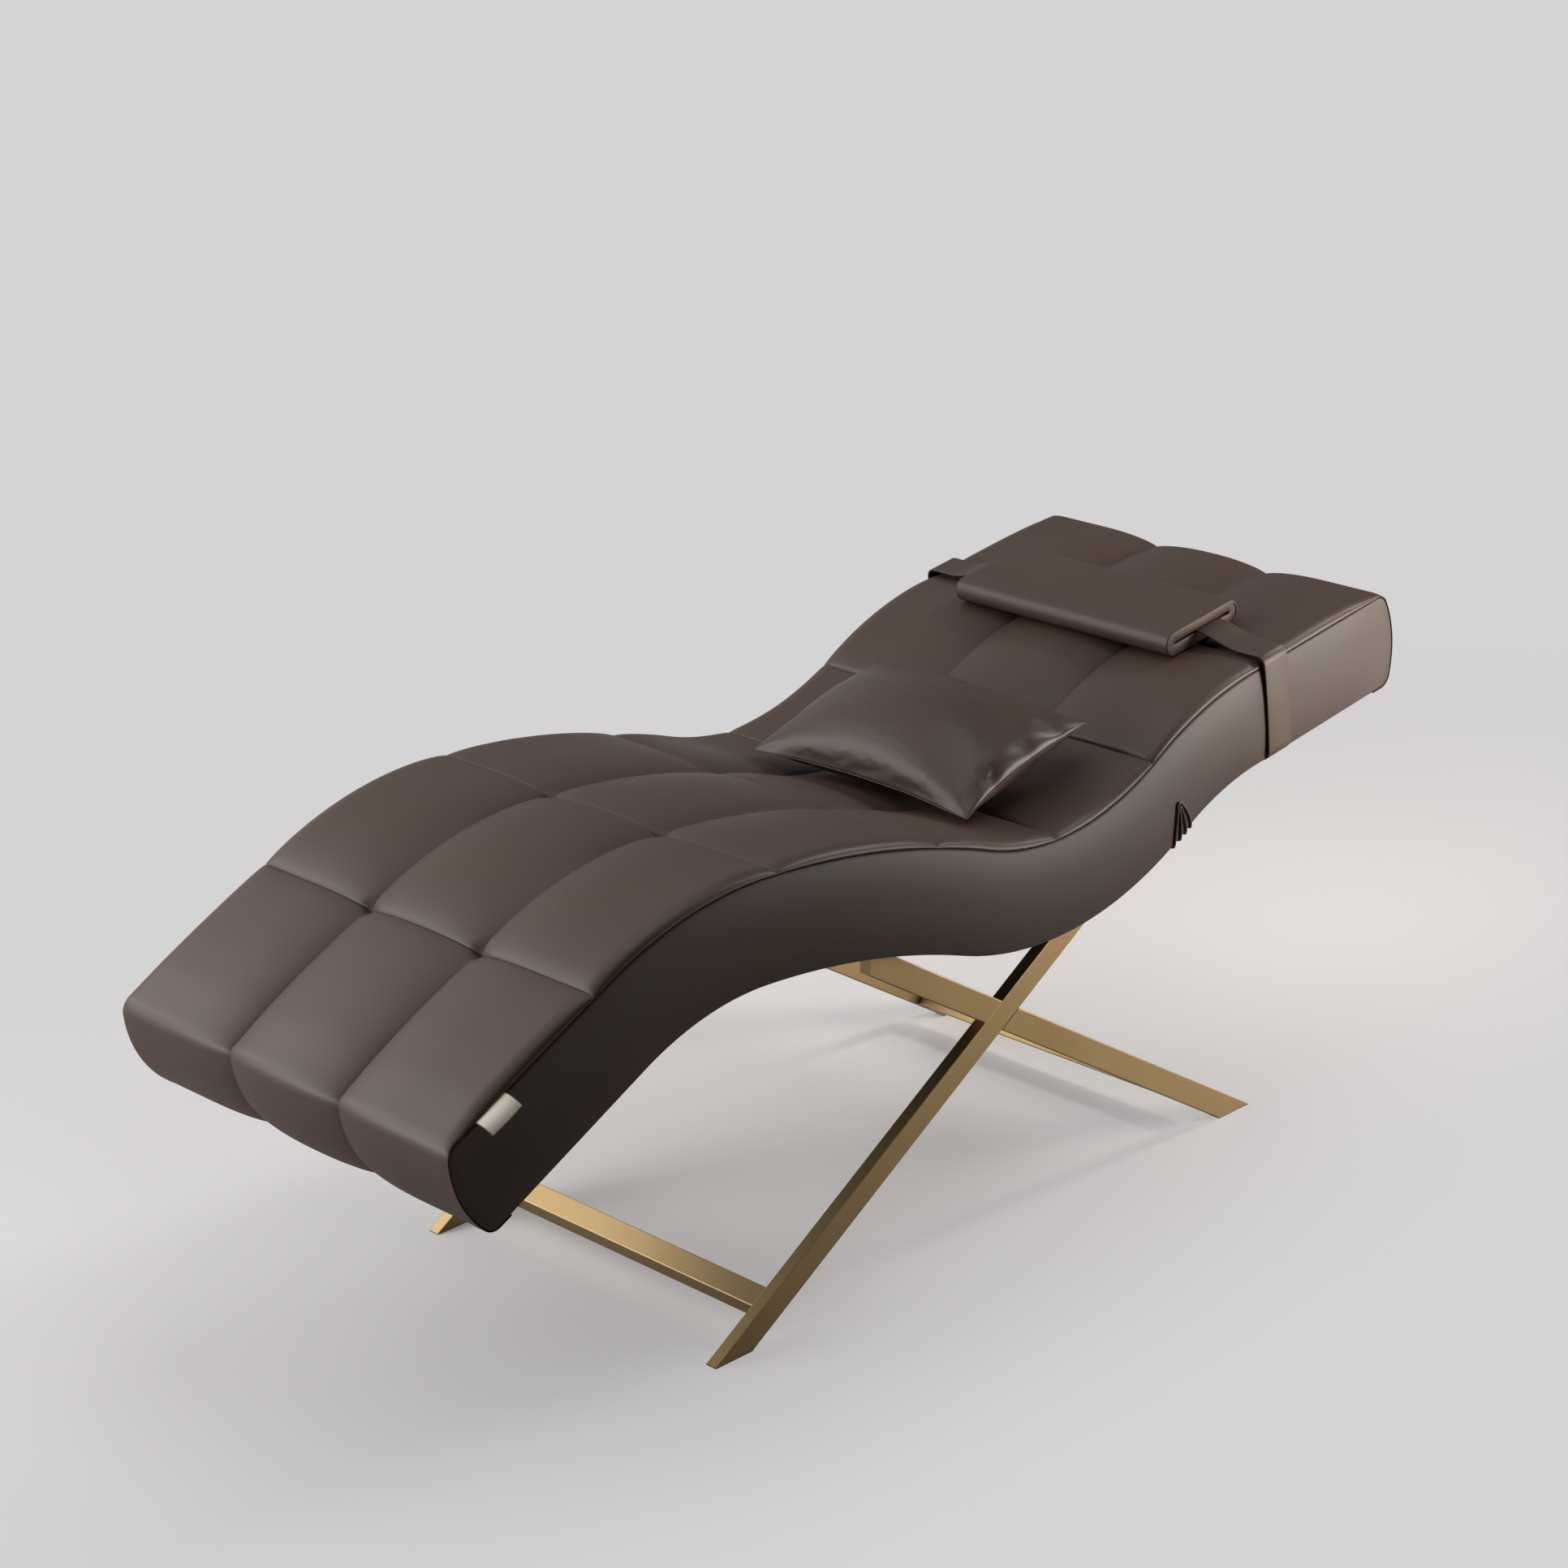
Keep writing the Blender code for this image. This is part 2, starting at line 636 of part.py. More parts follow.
def strap_path():
    # Half of the loop as (x, z), from the slit over the near side and under the mattress
    side_x = HALF_WIDTH + STRAP_SIDE_GAP + STRAP_THICKNESS / 2
    rest_z = (STRAP_THICKNESS - PAD_THICKNESS) / 2
    under_z = -(pad_height() + HALF_THICKNESS + FIT_GAP + STRAP_THICKNESS / 2)
    fall_x = PAD_LENGTH / 2 + STRAP_THICKNESS
    points = [(0.0, 0.0), (PAD_LENGTH / 2, 0.0)]
    for index in range(ARC_STEP_COUNT + 1):
        share = index / ARC_STEP_COUNT
        points.append((fall_x + STRAP_FALL_LENGTH * share, rest_z * share * share * (3.0 - 2.0 * share)))
    for level, start in ((rest_z - STRAP_BEND_RADIUS, math.pi / 2), (under_z + STRAP_BEND_RADIUS, 0.0)):
        for index in range(ARC_STEP_COUNT + 1):
            angle = start - math.pi / 2 * index / ARC_STEP_COUNT
            points.append((side_x - STRAP_BEND_RADIUS + STRAP_BEND_RADIUS * math.cos(angle),
                           level + STRAP_BEND_RADIUS * math.sin(angle)))
    points.append((0.0, under_z))
    return points


def neck_strap(material, parent):
    half = strap_path()
    loop = [Vector(point) for point in half]
    loop += [Vector((-x, z)) for x, z in reversed(half[1:-1])]
    inside, outside = [], []
    for index, point in enumerate(loop):
        run = (loop[(index + 1) % len(loop)] - loop[index - 1]).normalized()
        across = Vector((-run.y, run.x)) * STRAP_THICKNESS / 2
        outside.append(point + across)
        inside.append(point - across)
    bm = bmesh.new()
    edges = []
    for outline, y in ((outside, -1), (outside, 1), (inside, 1), (inside, -1)):
        at = STRAP_SHIFT + y * STRAP_WIDTH / 2
        edges.append([bm.verts.new((x, at, z)) for x, z in outline])
    join_rings(bm, edges, closed=True)
    return make_object("neck_strap", bm, material, parent, SMOOTH_ANGLE)


# Base

def clip(polygon, point, inward):
    # The part of a flat polygon on the inward side of a line
    kept = []
    for index, here in enumerate(polygon):
        there = polygon[(index + 1) % len(polygon)]
        depth_here = (here - point).dot(inward)
        depth_there = (there - point).dot(inward)
        if depth_here >= 0:
            kept.append(here)
        if (depth_here >= 0) != (depth_there >= 0):
            kept.append(here.lerp(there, depth_here / (depth_here - depth_there)))
    return kept


def crossing():
    return Vector(bed_point(seat_station(CROSSING_SEAT_SHARE), -HALF_THICKNESS - CROSSING_DROP))


def leg_outline(tilt, half_depth, limits, shift_open, shift_capped):
    centre = crossing()
    along = Vector((math.cos(tilt), math.sin(tilt)))
    up = Vector((-along.y, along.x))
    far = along * BED_LENGTH
    deep = up * half_depth
    polygon = [centre - far - deep, centre + far - deep, centre + far + deep, centre - far + deep]
    for point, inward, capped in limits:
        shift = shift_capped if capped else shift_open
        polygon = clip(polygon, point + inward * shift, inward)
    return polygon


def tube_leg(name, tilt, side, limits, material, parent):
    outer_x = side * BASE_WIDTH / 2
    inner_x = outer_x - side * TUBE_WIDTH
    outline = leg_outline(tilt, TUBE_DEPTH / 2, limits, 0.0, 0.0)
    bm = extrude_profile([tuple(point) for point in outline], min(outer_x, inner_x), max(outer_x, inner_x))
    along = Vector((0.0, math.cos(tilt), math.sin(tilt)))
    long_edges = [edge for edge in bm.edges
                  if abs((edge.verts[1].co - edge.verts[0].co).normalized().dot(along)) > math.cos(EDGE_TOLERANCE)]
    bmesh.ops.bevel(bm, geom=long_edges, offset=TUBE_EDGE, segments=2, profile=0.5, affect="EDGES")
    leg = make_object(name, bm, material, parent, SMOOTH_ANGLE)
    hollow = leg_outline(tilt, TUBE_DEPTH / 2 - TUBE_WALL, limits, -CUT_OVERRUN, TUBE_WALL)
    low, high = min(outer_x, inner_x) + TUBE_WALL, max(outer_x, inner_x) - TUBE_WALL
    cutter_bm = extrude_profile([tuple(point) for point in hollow], low, high)
    cut_away(leg, make_object(name + "_bore", cutter_bm, material, parent))
    return leg


def plate_frame(middle, length):
    # Where a flat plate lies against the curved underside: its middle, and its direction
    slope = bed_frame(middle)[2]
    along = Vector((math.cos(slope), math.sin(slope)))
    up = Vector((-along.y, along.x))
    touch = Vector(bed_point(middle, -HALF_THICKNESS))
    step_count = 20
    low = 0.0
    stations = [middle - length / 2] + top_stations() + [middle + length / 2]
    for index in range(step_count + 1):
        station = middle + length * (index / step_count - 0.5)
        low = min(low, (Vector(bed_point(station, -HALF_THICKNESS)) - touch).dot(up))
    for station in stations:
        if abs(station - middle) <= length / 2:
            low = min(low, (Vector(bed_point(station, -HALF_THICKNESS)) - touch).dot(up))
    top = touch + up * (low - FIT_GAP)
    return top, along, up, slope


def leg_meeting(tilt, edge):
    # The station where one edge of a leg meets the underside of the mattress
    along = Vector((math.cos(tilt), math.sin(tilt)))
    up = Vector((-along.y, along.x))
    start = crossing() + up * edge * TUBE_DEPTH / 2
    direction = along if tilt > 0 else -along
    low, high = 0.0, BED_LENGTH
    for _ in range(60):
        middle = (low + high) / 2
        _, height = bed_place(*(start + direction * middle))
        if height < -HALF_THICKNESS:
            low = middle
        else:
            high = middle
    station, _ = bed_place(*(start + direction * low))
    return station


def rear_plate_place():
    # Over the whole top of the long legs
    meets = (leg_meeting(LONG_LEG_TILT, -1), leg_meeting(LONG_LEG_TILT, 1))
    length = abs(meets[0] - meets[1]) + 2 * PLATE_MARGIN
    return plate_frame(sum(meets) / 2, length), length


def front_plate_place():
    # Over the part of the short legs' top that is left by their upright ends
    meet = leg_meeting(SHORT_LEG_TILT, 1)
    length = SHORT_LEG_TOP + 2 * PLATE_MARGIN
    return plate_frame(meet - SHORT_LEG_TOP / 2, length), length


def mount_plate(name, frame, length, material, parent):
    top, along, up, _ = frame
    bottom = top - up * PLATE_THICKNESS
    reach = along * length / 2
    points = [tuple(top - reach), tuple(top + reach), tuple(bottom + reach), tuple(bottom - reach)]
    bm = extrude_profile(points, -BASE_WIDTH / 2, BASE_WIDTH / 2)
    thick = Vector((0.0, up.x, up.y))
    corners = [edge for edge in bm.edges
               if abs((edge.verts[1].co - edge.verts[0].co).normalized().dot(thick)) > math.cos(EDGE_TOLERANCE)]
    bmesh.ops.bevel(bm, geom=corners, offset=PLATE_CORNER_RADIUS, segments=3, profile=0.5, affect="EDGES")
    return make_object(name, bm, material, parent, SMOOTH_ANGLE)


def bolt_mesh(material):
    # Hexagon head below the origin, round shank above it
    shank = PLATE_THICKNESS + 2 * FIT_GAP + COVER_THICKNESS + BOLT_GRIP
    bm = bmesh.new()
    head_radius = BOLT_HEAD_WIDTH / 2 / math.cos(math.pi / 6)

    def ring(radius, count, z):
        return [bm.verts.new((radius * math.cos(2 * math.pi * k / count),
                              radius * math.sin(2 * math.pi * k / count), z)) for k in range(count)]

    head_low = ring(head_radius, 6, -BOLT_HEAD_HEIGHT)
    head_high = ring(head_radius, 6, 0.0)
    neck = ring(BOLT_DIAMETER / 2, 12, 0.0)
    tip = ring(BOLT_DIAMETER / 2, 12, shank)
    bm.faces.new(head_low)
    bm.faces.new(tip)
    for k in range(6):
        n = (k + 1) % 6
        a, b, c = neck[2 * k], neck[2 * k + 1], neck[(2 * k + 2) % 12]
        bm.faces.new((head_low[k], head_low[n], head_high[n], head_high[k]))
        bm.faces.new((head_high[k], b, a))
        bm.faces.new((head_high[k], head_high[n], b))
        bm.faces.new((head_high[n], c, b))
    for k in range(12):
        n = (k + 1) % 12
        bm.faces.new((neck[k], neck[n], tip[n], tip[k]))
    bmesh.ops.recalc_face_normals(bm, faces=bm.faces)
    mesh = bpy.data.meshes.new("bolt")
    bm.to_mesh(mesh)
    bm.free()
    mesh.materials.append(material)
    mesh.shade_smooth()
    mesh.set_sharp_from_angle(angle=math.radians(35))
    return mesh


def bolt_holes(name, frame, material, parent):
    # One cutter with a rod for each bolt of a plate
    top, along, up, slope = frame
    reach = PLATE_THICKNESS + FIT_GAP + COVER_THICKNESS + FIT_GAP + BOLT_GRIP + BOLT_CLEARANCE
    start = Vector(top) - up * (PLATE_THICKNESS + CUT_OVERRUN)
    depth = reach + CUT_OVERRUN
    bm = bmesh.new()
    for share in BOLT_ROW_SHARES:
        middle = start + up * depth / 2
        place = (Matrix.Translation((share * BASE_WIDTH / 2, middle.x, middle.y))
                 @ Matrix.Rotation(slope, 4, "X"))
        radius = BOLT_DIAMETER / 2 + BOLT_CLEARANCE
        bmesh.ops.create_cone(bm, cap_ends=True, segments=12, radius1=radius, radius2=radius,
                              depth=depth, matrix=place)
    return make_object(name, bm, material, parent)


def place_bolts(prefix, frame, mesh, parent):
    top, along, up, slope = frame
    seat = top - up * (PLATE_THICKNESS + FIT_GAP)
    for index, share in enumerate(BOLT_ROW_SHARES, start=1):
        item = bpy.data.objects.new(prefix + "_" + str(index), mesh)
        bpy.context.scene.collection.objects.link(item)
        item.location = (share * BASE_WIDTH / 2, seat.x, seat.y)
        item.rotation_euler.x = slope
        item.parent = parent


def floor_place(tilt):
    # Where the middle line of a leg comes to the floor
    return crossing().x - crossing().y / math.tan(tilt)


def crossbar(name, tilt, sign, material, parent):
    # A square tube between the two sides, its top level with the legs' slope
    along = Vector((math.cos(tilt), math.sin(tilt)))
    centre = Vector((floor_place(tilt), 0.0)) + along * BAR_UP_LEG * sign
    up = Vector((-along.y, along.x))
    reach = BASE_WIDTH / 2 - TUBE_WIDTH - FIT_GAP

    def square(half):
        return [tuple(centre + along * a * half + up * b * half)
                for a, b in ((-1, -1), (1, -1), (1, 1), (-1, 1))]

    bm = extrude_profile(square(BAR_SIZE / 2), -reach, reach)
    long_edges = [edge for edge in bm.edges if abs(edge.verts[0].co.x - edge.verts[1].co.x) > reach]
    bmesh.ops.bevel(bm, geom=long_edges, offset=TUBE_EDGE, segments=2, profile=0.5, affect="EDGES")
    bar = make_object(name, bm, material, parent, SMOOTH_ANGLE)
    hollow = reach + CUT_OVERRUN
    cutter = extrude_profile(square(BAR_SIZE / 2 - TUBE_WALL), -hollow, hollow)
    cut_away(bar, make_object(name + "_bore", cutter, material, parent))
    return bar


def foot_glide(name, tilt, side, material, parent):
    # A flat glide with a plug that stands up inside the tube
    lean = 1.0 / math.tan(tilt)
    floor_y = floor_place(tilt)
    stretch = 1.0 / abs(math.sin(tilt))
    outer_y = TUBE_DEPTH / 2 * stretch - GLIDE_MARGIN
    outer_x = TUBE_WIDTH / 2 - GLIDE_MARGIN
    plug_y = (TUBE_DEPTH / 2 - TUBE_WALL - PLUG_CLEARANCE) * stretch
    plug_x = TUBE_WIDTH / 2 - TUBE_WALL - PLUG_CLEARANCE
    x = side * (BASE_WIDTH - TUBE_WIDTH) / 2
    rise = GLIDE_THICKNESS + PLUG_LENGTH
    bm = bmesh.new()
    rings = []
    for half_x, half_y, z, level in ((outer_x, outer_y, 0.0, GLIDE_THICKNESS),
                                     (outer_x, outer_y, GLIDE_THICKNESS, GLIDE_THICKNESS),
                                     (plug_x, plug_y, GLIDE_THICKNESS, GLIDE_THICKNESS),
                                     (plug_x, plug_y, rise, rise)):
        centre = floor_y + level * lean
        rings.append([bm.verts.new((x + a * half_x, centre + b * half_y, z))
                      for a, b in ((-1, -1), (1, -1), (1, 1), (-1, 1))])
    join_rings(bm, rings)
    return make_object(name, bm, material, parent)


def base(gold, rubber, steel, parent):
    rear_frame, rear_length = rear_plate_place()
    front_frame, front_length = front_plate_place()
    end_y, _ = bed_point(leg_meeting(SHORT_LEG_TILT, 1) - SHORT_LEG_TOP, -HALF_THICKNESS)
    centre = crossing()
    across = Vector((-math.sin(LONG_LEG_TILT), math.cos(LONG_LEG_TILT)))
    beside = across * (TUBE_DEPTH / 2 + FIT_GAP)
    floor = (Vector((0.0, GLIDE_THICKNESS + FIT_GAP)), Vector((0.0, 1.0)), False)

    def under(frame):
        top, along, up, slope = frame
        return (top - up * (PLATE_THICKNESS + FIT_GAP), -up, False)

    upright = (Vector((end_y, 0.0)), Vector((1.0, 0.0)), True)
    legs = (("leg_long", LONG_LEG_TILT, (floor, under(rear_frame))),
            ("leg_upper", SHORT_LEG_TILT, ((centre + beside, across, False), under(front_frame), upright)),
            ("leg_lower", SHORT_LEG_TILT, ((centre - beside, -across, False), floor)))
    for side, prefix in ((1, "near"), (-1, "far")):
        for name, tilt, limits in legs:
            tube_leg(prefix + "_" + name, tilt, side, limits, gold, parent)
        foot_glide(prefix + "_front_glide", LONG_LEG_TILT, side, rubber, parent)
        foot_glide(prefix + "_rear_glide", SHORT_LEG_TILT, side, rubber, parent)
    crossbar("front_crossbar", LONG_LEG_TILT, 1, gold, parent)
    crossbar("rear_crossbar", SHORT_LEG_TILT, -1, gold, parent)
    mesh = bolt_mesh(steel)
    cutters = []
    for prefix, frame, length in (("front", front_frame, front_length), ("rear", rear_frame, rear_length)):
        plate = mount_plate(prefix + "_mount_plate", frame, length, steel, parent)
        holes = bolt_holes(prefix + "_bolt_holes", frame, steel, parent)
        cut_away(plate, holes)
        place_bolts(prefix + "_bolt", frame, mesh, parent)
        cutters.append(holes)
    return cutters


def main():
    clear_scene()
    leather = make_material("taupe_leather", (0.107, 0.080, 0.061), 0.48)
    panel_leather = make_material("side_leather", (0.115, 0.090, 0.072), 0.46)
    foam = make_material("foam", (0.75, 0.70, 0.55), 0.9)
    wood = make_material("bent_plywood", (0.55, 0.40, 0.24), 0.6)
    cloth = make_material("dust_cloth", (0.03, 0.028, 0.026), 0.9)
    tab_cloth = make_material("cream_cloth", (0.80, 0.77, 0.66), 0.8)
    pillow_leather = make_material("pillow_leather", (0.100, 0.076, 0.060), 0.36)
    pad_leather = make_material("pad_leather", (0.110, 0.083, 0.064), 0.42)
    elastic = make_material("elastic_band", (0.105, 0.080, 0.063), 0.5)
    gold = make_material("satin_brass", (0.46, 0.31, 0.13), 0.3, 1.0)
    rubber = make_material("glide_rubber", (0.03, 0.03, 0.03), 0.8)
    steel = make_material("plate_steel", (0.35, 0.33, 0.30), 0.45, 1.0)

    bed = make_empty("bed", (0.0, 0.0, 0.0), 0.0, None)
    top, middle = quilted_top(leather, bed)
    foam_core(foam, bed)
    cover = bent_layer("dust_cover", -HALF_THICKNESS, COVER_THICKNESS - HALF_THICKNESS, cloth, bed)
    board_low = COVER_THICKNESS + FIT_GAP - HALF_THICKNESS
    board = bent_layer("base_board", board_low, board_low + BOARD_THICKNESS, wood, bed)
    side_panel("side_panel_near", 1, panel_leather, bed)
    side_panel("side_panel_far", -1, panel_leather, bed)
    label_tab(tab_cloth, bed)
    side_loop("side_loop_outer", OUTER_LOOP_HEIGHT, OUTER_LOOP_SPREAD, OUTER_LOOP_TIP, elastic, bed)
    side_loop("side_loop_inner", INNER_LOOP_HEIGHT, INNER_LOOP_SPREAD, INNER_LOOP_TIP, elastic, bed)
    for holes in base(gold, rubber, steel, bed):
        cut_away(cover, holes)
        cut_away(board, holes)
    pillow(pillow_leather, bed)
    pad_at = bed_point(NECK_END + PAD_PAST_NECK, pad_height())
    head_slope = bed_frame(BED_LENGTH)[2]
    slider = make_empty("neck_pad_slide", (0.0, *pad_at), head_slope, bed)
    neck_pad(pad_leather, slider)
    neck_strap(elastic, slider)
    bed.location.y = -middle
    print("bed length along its centreline", round(BED_LENGTH, 4))


main()
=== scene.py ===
from math import asin, atan2, copysign, cos, hypot, pi, radians, sin, sqrt

import bmesh
import bpy
import numpy as np
from mathutils import Matrix, Vector


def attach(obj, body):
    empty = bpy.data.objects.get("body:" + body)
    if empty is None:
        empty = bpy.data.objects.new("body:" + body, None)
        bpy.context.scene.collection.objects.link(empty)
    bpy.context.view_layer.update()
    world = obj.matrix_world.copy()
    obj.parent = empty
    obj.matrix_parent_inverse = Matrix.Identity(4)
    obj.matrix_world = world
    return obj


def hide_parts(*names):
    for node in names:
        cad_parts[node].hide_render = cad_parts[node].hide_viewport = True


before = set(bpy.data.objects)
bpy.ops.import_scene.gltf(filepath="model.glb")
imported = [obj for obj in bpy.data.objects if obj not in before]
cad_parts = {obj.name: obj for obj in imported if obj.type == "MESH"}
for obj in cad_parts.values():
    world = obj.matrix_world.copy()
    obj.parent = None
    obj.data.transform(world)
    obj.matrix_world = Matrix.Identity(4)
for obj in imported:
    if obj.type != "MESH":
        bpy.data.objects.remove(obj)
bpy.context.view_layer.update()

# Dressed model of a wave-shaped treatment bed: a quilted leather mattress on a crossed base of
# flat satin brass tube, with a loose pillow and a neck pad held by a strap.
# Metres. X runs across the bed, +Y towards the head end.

scene = bpy.context.scene
scene.view_settings.view_transform = "Standard"
quarter = pi / 2


def addObject(name, data):
    item = bpy.data.objects.new(name, data)
    scene.collection.objects.link(item)
    return item


def assign(target, settings):
    for key, value in settings.items():
        setattr(target, key, value)


# Camera

shot = {
    "place": (3.36617, -3.52308, 2.39948),
    "turn": 44.067,          # degrees from +Y towards -X
    "down": 19.899,          # degrees below the horizon
    "focal": 83.65,          # millimetres, on a square sensor
    "sensor": 36.0,
    "clipEnd": 200.0,
}


def addCamera():
    data = bpy.data.cameras.new("camera")
    data.lens = shot["focal"]
    data.sensor_width = shot["sensor"]
    data.sensor_fit = "HORIZONTAL"
    data.clip_end = shot["clipEnd"]
    item = addObject("camera", data)
    item.location = shot["place"]
    item.rotation_euler = (radians(90.0 - shot["down"]), 0.0, radians(shot["turn"]))
    scene.camera = item


addCamera()
print("camera placed")


# Materials

def setInputs(tree, node, inputs):
    for key, value in inputs.items():
        if isinstance(value, bpy.types.NodeSocket):
            tree.links.new(value, node.inputs[key])
        else:
            node.inputs[key].default_value = value


def addNode(tree, kind, inputs=None, **settings):
    node = tree.nodes.new(kind)
    assign(node, settings)
    setInputs(tree, node, inputs or {})
    return node


def newMaterial(name, surface, *look):
    # The surface function adds its nodes to the tree and returns the shader's inputs
    material = bpy.data.materials.new(name)
    material.use_nodes = True
    tree = material.node_tree
    setInputs(tree, tree.nodes["Principled BSDF"], surface(tree, *look))
    return material


def calculate(tree, operation, first, second, **settings):
    return addNode(tree, "ShaderNodeMath", {0: first, 1: second}, operation=operation, **settings).outputs[0]


def vectorValue(tree, operation, inputs):
    return addNode(tree, "ShaderNodeVectorMath", inputs, operation=operation).outputs["Value"]


def objectPlace(tree, turn=(0.0, 0.0, 0.0), scale=(1.0, 1.0, 1.0)):
    inputs = {"Vector": addNode(tree, "ShaderNodeTexCoord").outputs["Object"], "Rotation": turn, "Scale": scale}
    return addNode(tree, "ShaderNodeMapping", inputs).outputs["Vector"]


def noise(tree, place, scale, detail=3.0):
    inputs = {"Vector": place, "Scale": scale, "Detail": detail}
    return addNode(tree, "ShaderNodeTexNoise", inputs).outputs["Fac"]


def spread(tree, value, low, high, fromLow=0.3, fromHigh=0.7):
    inputs = {"Value": value, "From Min": fromLow, "From Max": fromHigh, "To Min": low, "To Max": high}
    return addNode(tree, "ShaderNodeMapRange", inputs).outputs["Result"]


def blendColours(tree, factor, first, second):
    inputs = {0: factor}
    for key, colour in ((6, first), (7, second)):
        inputs[key] = colour if isinstance(colour, bpy.types.NodeSocket) else (*colour, 1.0)
    return addNode(tree, "ShaderNodeMix", inputs, data_type="RGBA").outputs[2]


def clouded(tree, place, scale, colour, worn):
    return blendColours(tree, spread(tree, noise(tree, place, scale, 2.0), 0.0, 1.0), colour, worn)


def bumps(tree, *layers):
    # Each layer is (height, strength, distance in metres)
    inputs = {}
    for height, strength, distance in layers:
        inputs.update(Height=height, Strength=strength, Distance=distance)
        inputs["Normal"] = addNode(tree, "ShaderNodeBump", inputs).outputs["Normal"]
    return inputs["Normal"]


def leather(tree, look):
    place = objectPlace(tree)
    grainScale, grainStrength, grainHeight = look["grain"]
    dentScale, dentStrength, dentHeight = look["dents"]
    pebble = addNode(tree, "ShaderNodeTexVoronoi", {"Vector": place, "Scale": grainScale},
                     feature="SMOOTH_F1").outputs["Distance"]
    pore = noise(tree, place, grainScale * 3.0, 2.0)
    dent = noise(tree, place, dentScale, 1.0)
    return {"Base Color": clouded(tree, place, look["cloudScale"], *look["colours"]),
            "Roughness": spread(tree, pore, *look["roughness"]), "Specular IOR Level": look["gloss"],
            "Normal": bumps(tree, (dent, dentStrength, dentHeight), (pebble, grainStrength, grainHeight),
                            (pore, grainStrength, grainHeight / 2.0))}


def metal(tree, look):
    # Satin metal, brushed along one direction in the YZ plane
    turn = (radians(-look["tilt"]), 0.0, 0.0)
    scale, strength, height = look["brush"]
    brush = noise(tree, objectPlace(tree, turn, look["stretch"]), scale)
    return {"Base Color": clouded(tree, objectPlace(tree), look["cloudScale"], *look["colours"]),
            "Roughness": spread(tree, brush, *look["roughness"]), "Metallic": look["metal"],
            "Normal": bumps(tree, (brush, strength, height))}


def woven(tree, look):
    # Two crossed sets of threads
    sets = []
    for turn in (0.0, quarter):
        inputs = {"Vector": objectPlace(tree, (0.0, 0.0, turn)), "Scale": look["threads"], "Distortion": 0.6,
                  "Detail": 1.0, "Detail Scale": 4.0}
        sets.append(addNode(tree, "ShaderNodeTexWave", inputs, bands_direction=look["direction"]))
    weave = calculate(tree, "MULTIPLY", *(threads.outputs["Fac"] for threads in sets))
    cloud = spread(tree, noise(tree, objectPlace(tree), 40.0), -0.2, 0.5)
    mixed = calculate(tree, "ADD", weave, cloud, use_clamp=True)
    return {"Base Color": blendColours(tree, mixed, *look["colours"]),
            "Roughness": look["roughness"], "Sheen Weight": 0.15, "Normal": bumps(tree, (weave, 0.4, 0.0003))}


def bentPlywood(tree):
    place = objectPlace(tree, scale=(1.0, 0.08, 0.08))
    wave = addNode(tree, "ShaderNodeTexWave", {"Vector": place, "Scale": 6.0, "Distortion": 6.0, "Detail": 3.0})
    grain = noise(tree, place, 300.0, 4.0)
    return {"Base Color": blendColours(tree, wave.outputs["Fac"], (0.50, 0.35, 0.20), (0.62, 0.46, 0.28)),
            "Roughness": spread(tree, grain, 0.5, 0.7), "Normal": bumps(tree, (grain, 0.2, 0.0003))}


def openFoam(tree):
    inputs = {"Vector": objectPlace(tree), "Scale": 600.0}
    cells = addNode(tree, "ShaderNodeTexVoronoi", inputs).outputs["Distance"]
    return {"Base Color": blendColours(tree, cells, (0.66, 0.58, 0.36), (0.80, 0.73, 0.52)),
            "Roughness": 0.95, "Normal": bumps(tree, (cells, 0.6, 0.0006))}


def blackPlastic(tree):
    grain = noise(tree, objectPlace(tree), 900.0, 2.0)
    return {"Base Color": blendColours(tree, grain, (0.016, 0.016, 0.016), (0.035, 0.034, 0.033)),
            "Roughness": spread(tree, grain, 0.5, 0.75), "Normal": bumps(tree, (grain, 0.3, 0.0001))}


quiltLook = {
    "colours": ((0.067, 0.039, 0.027), (0.075, 0.044, 0.031)), "cloudScale": 4.0,
    "roughness": (0.42, 0.52), "gloss": 0.45,
    "grain": (520.0, 0.05, 0.0004), "dents": (9.0, 0.5, 0.0010),   # scale, strength and height
}
# The side panels use the top's leather painted darker, as painted shade for their dimly lit sides
paintedShadePanelLook = dict(quiltLook, colours=((0.050, 0.031, 0.022), (0.055, 0.034, 0.024)), roughness=(0.50, 0.58))
pillowLook = dict(quiltLook, colours=((0.060, 0.036, 0.025), (0.066, 0.040, 0.028)), roughness=(0.38, 0.46),
                  dents=(14.0, 0.5, 0.0010))
padLook = dict(quiltLook, colours=((0.068, 0.040, 0.028), (0.075, 0.045, 0.032)), roughness=(0.44, 0.52),
               dents=(9.0, 0.2, 0.0010))
strapLook = dict(padLook, grain=(700.0, 0.05, 0.0004), dents=(9.0, 0.1, 0.0010))
brassLook = {
    "colours": ((0.43, 0.300, 0.140), (0.47, 0.33, 0.16)), "cloudScale": 7.0, "roughness": (0.44, 0.48),
    "metal": 0.85, "tilt": 31.9, "stretch": (1.0, 0.02, 1.0), "brush": (1600.0, 0.002, 0.0002),
}
plainSteel = dict(brassLook, stretch=(1.0, 1.0, 1.0))
steelLook = dict(plainSteel, colours=((0.020, 0.020, 0.021), (0.034, 0.033, 0.032)), metal=0.0,
                 roughness=(0.40, 0.55))
boltLook = dict(plainSteel, colours=((0.45, 0.44, 0.42), (0.56, 0.55, 0.52)))

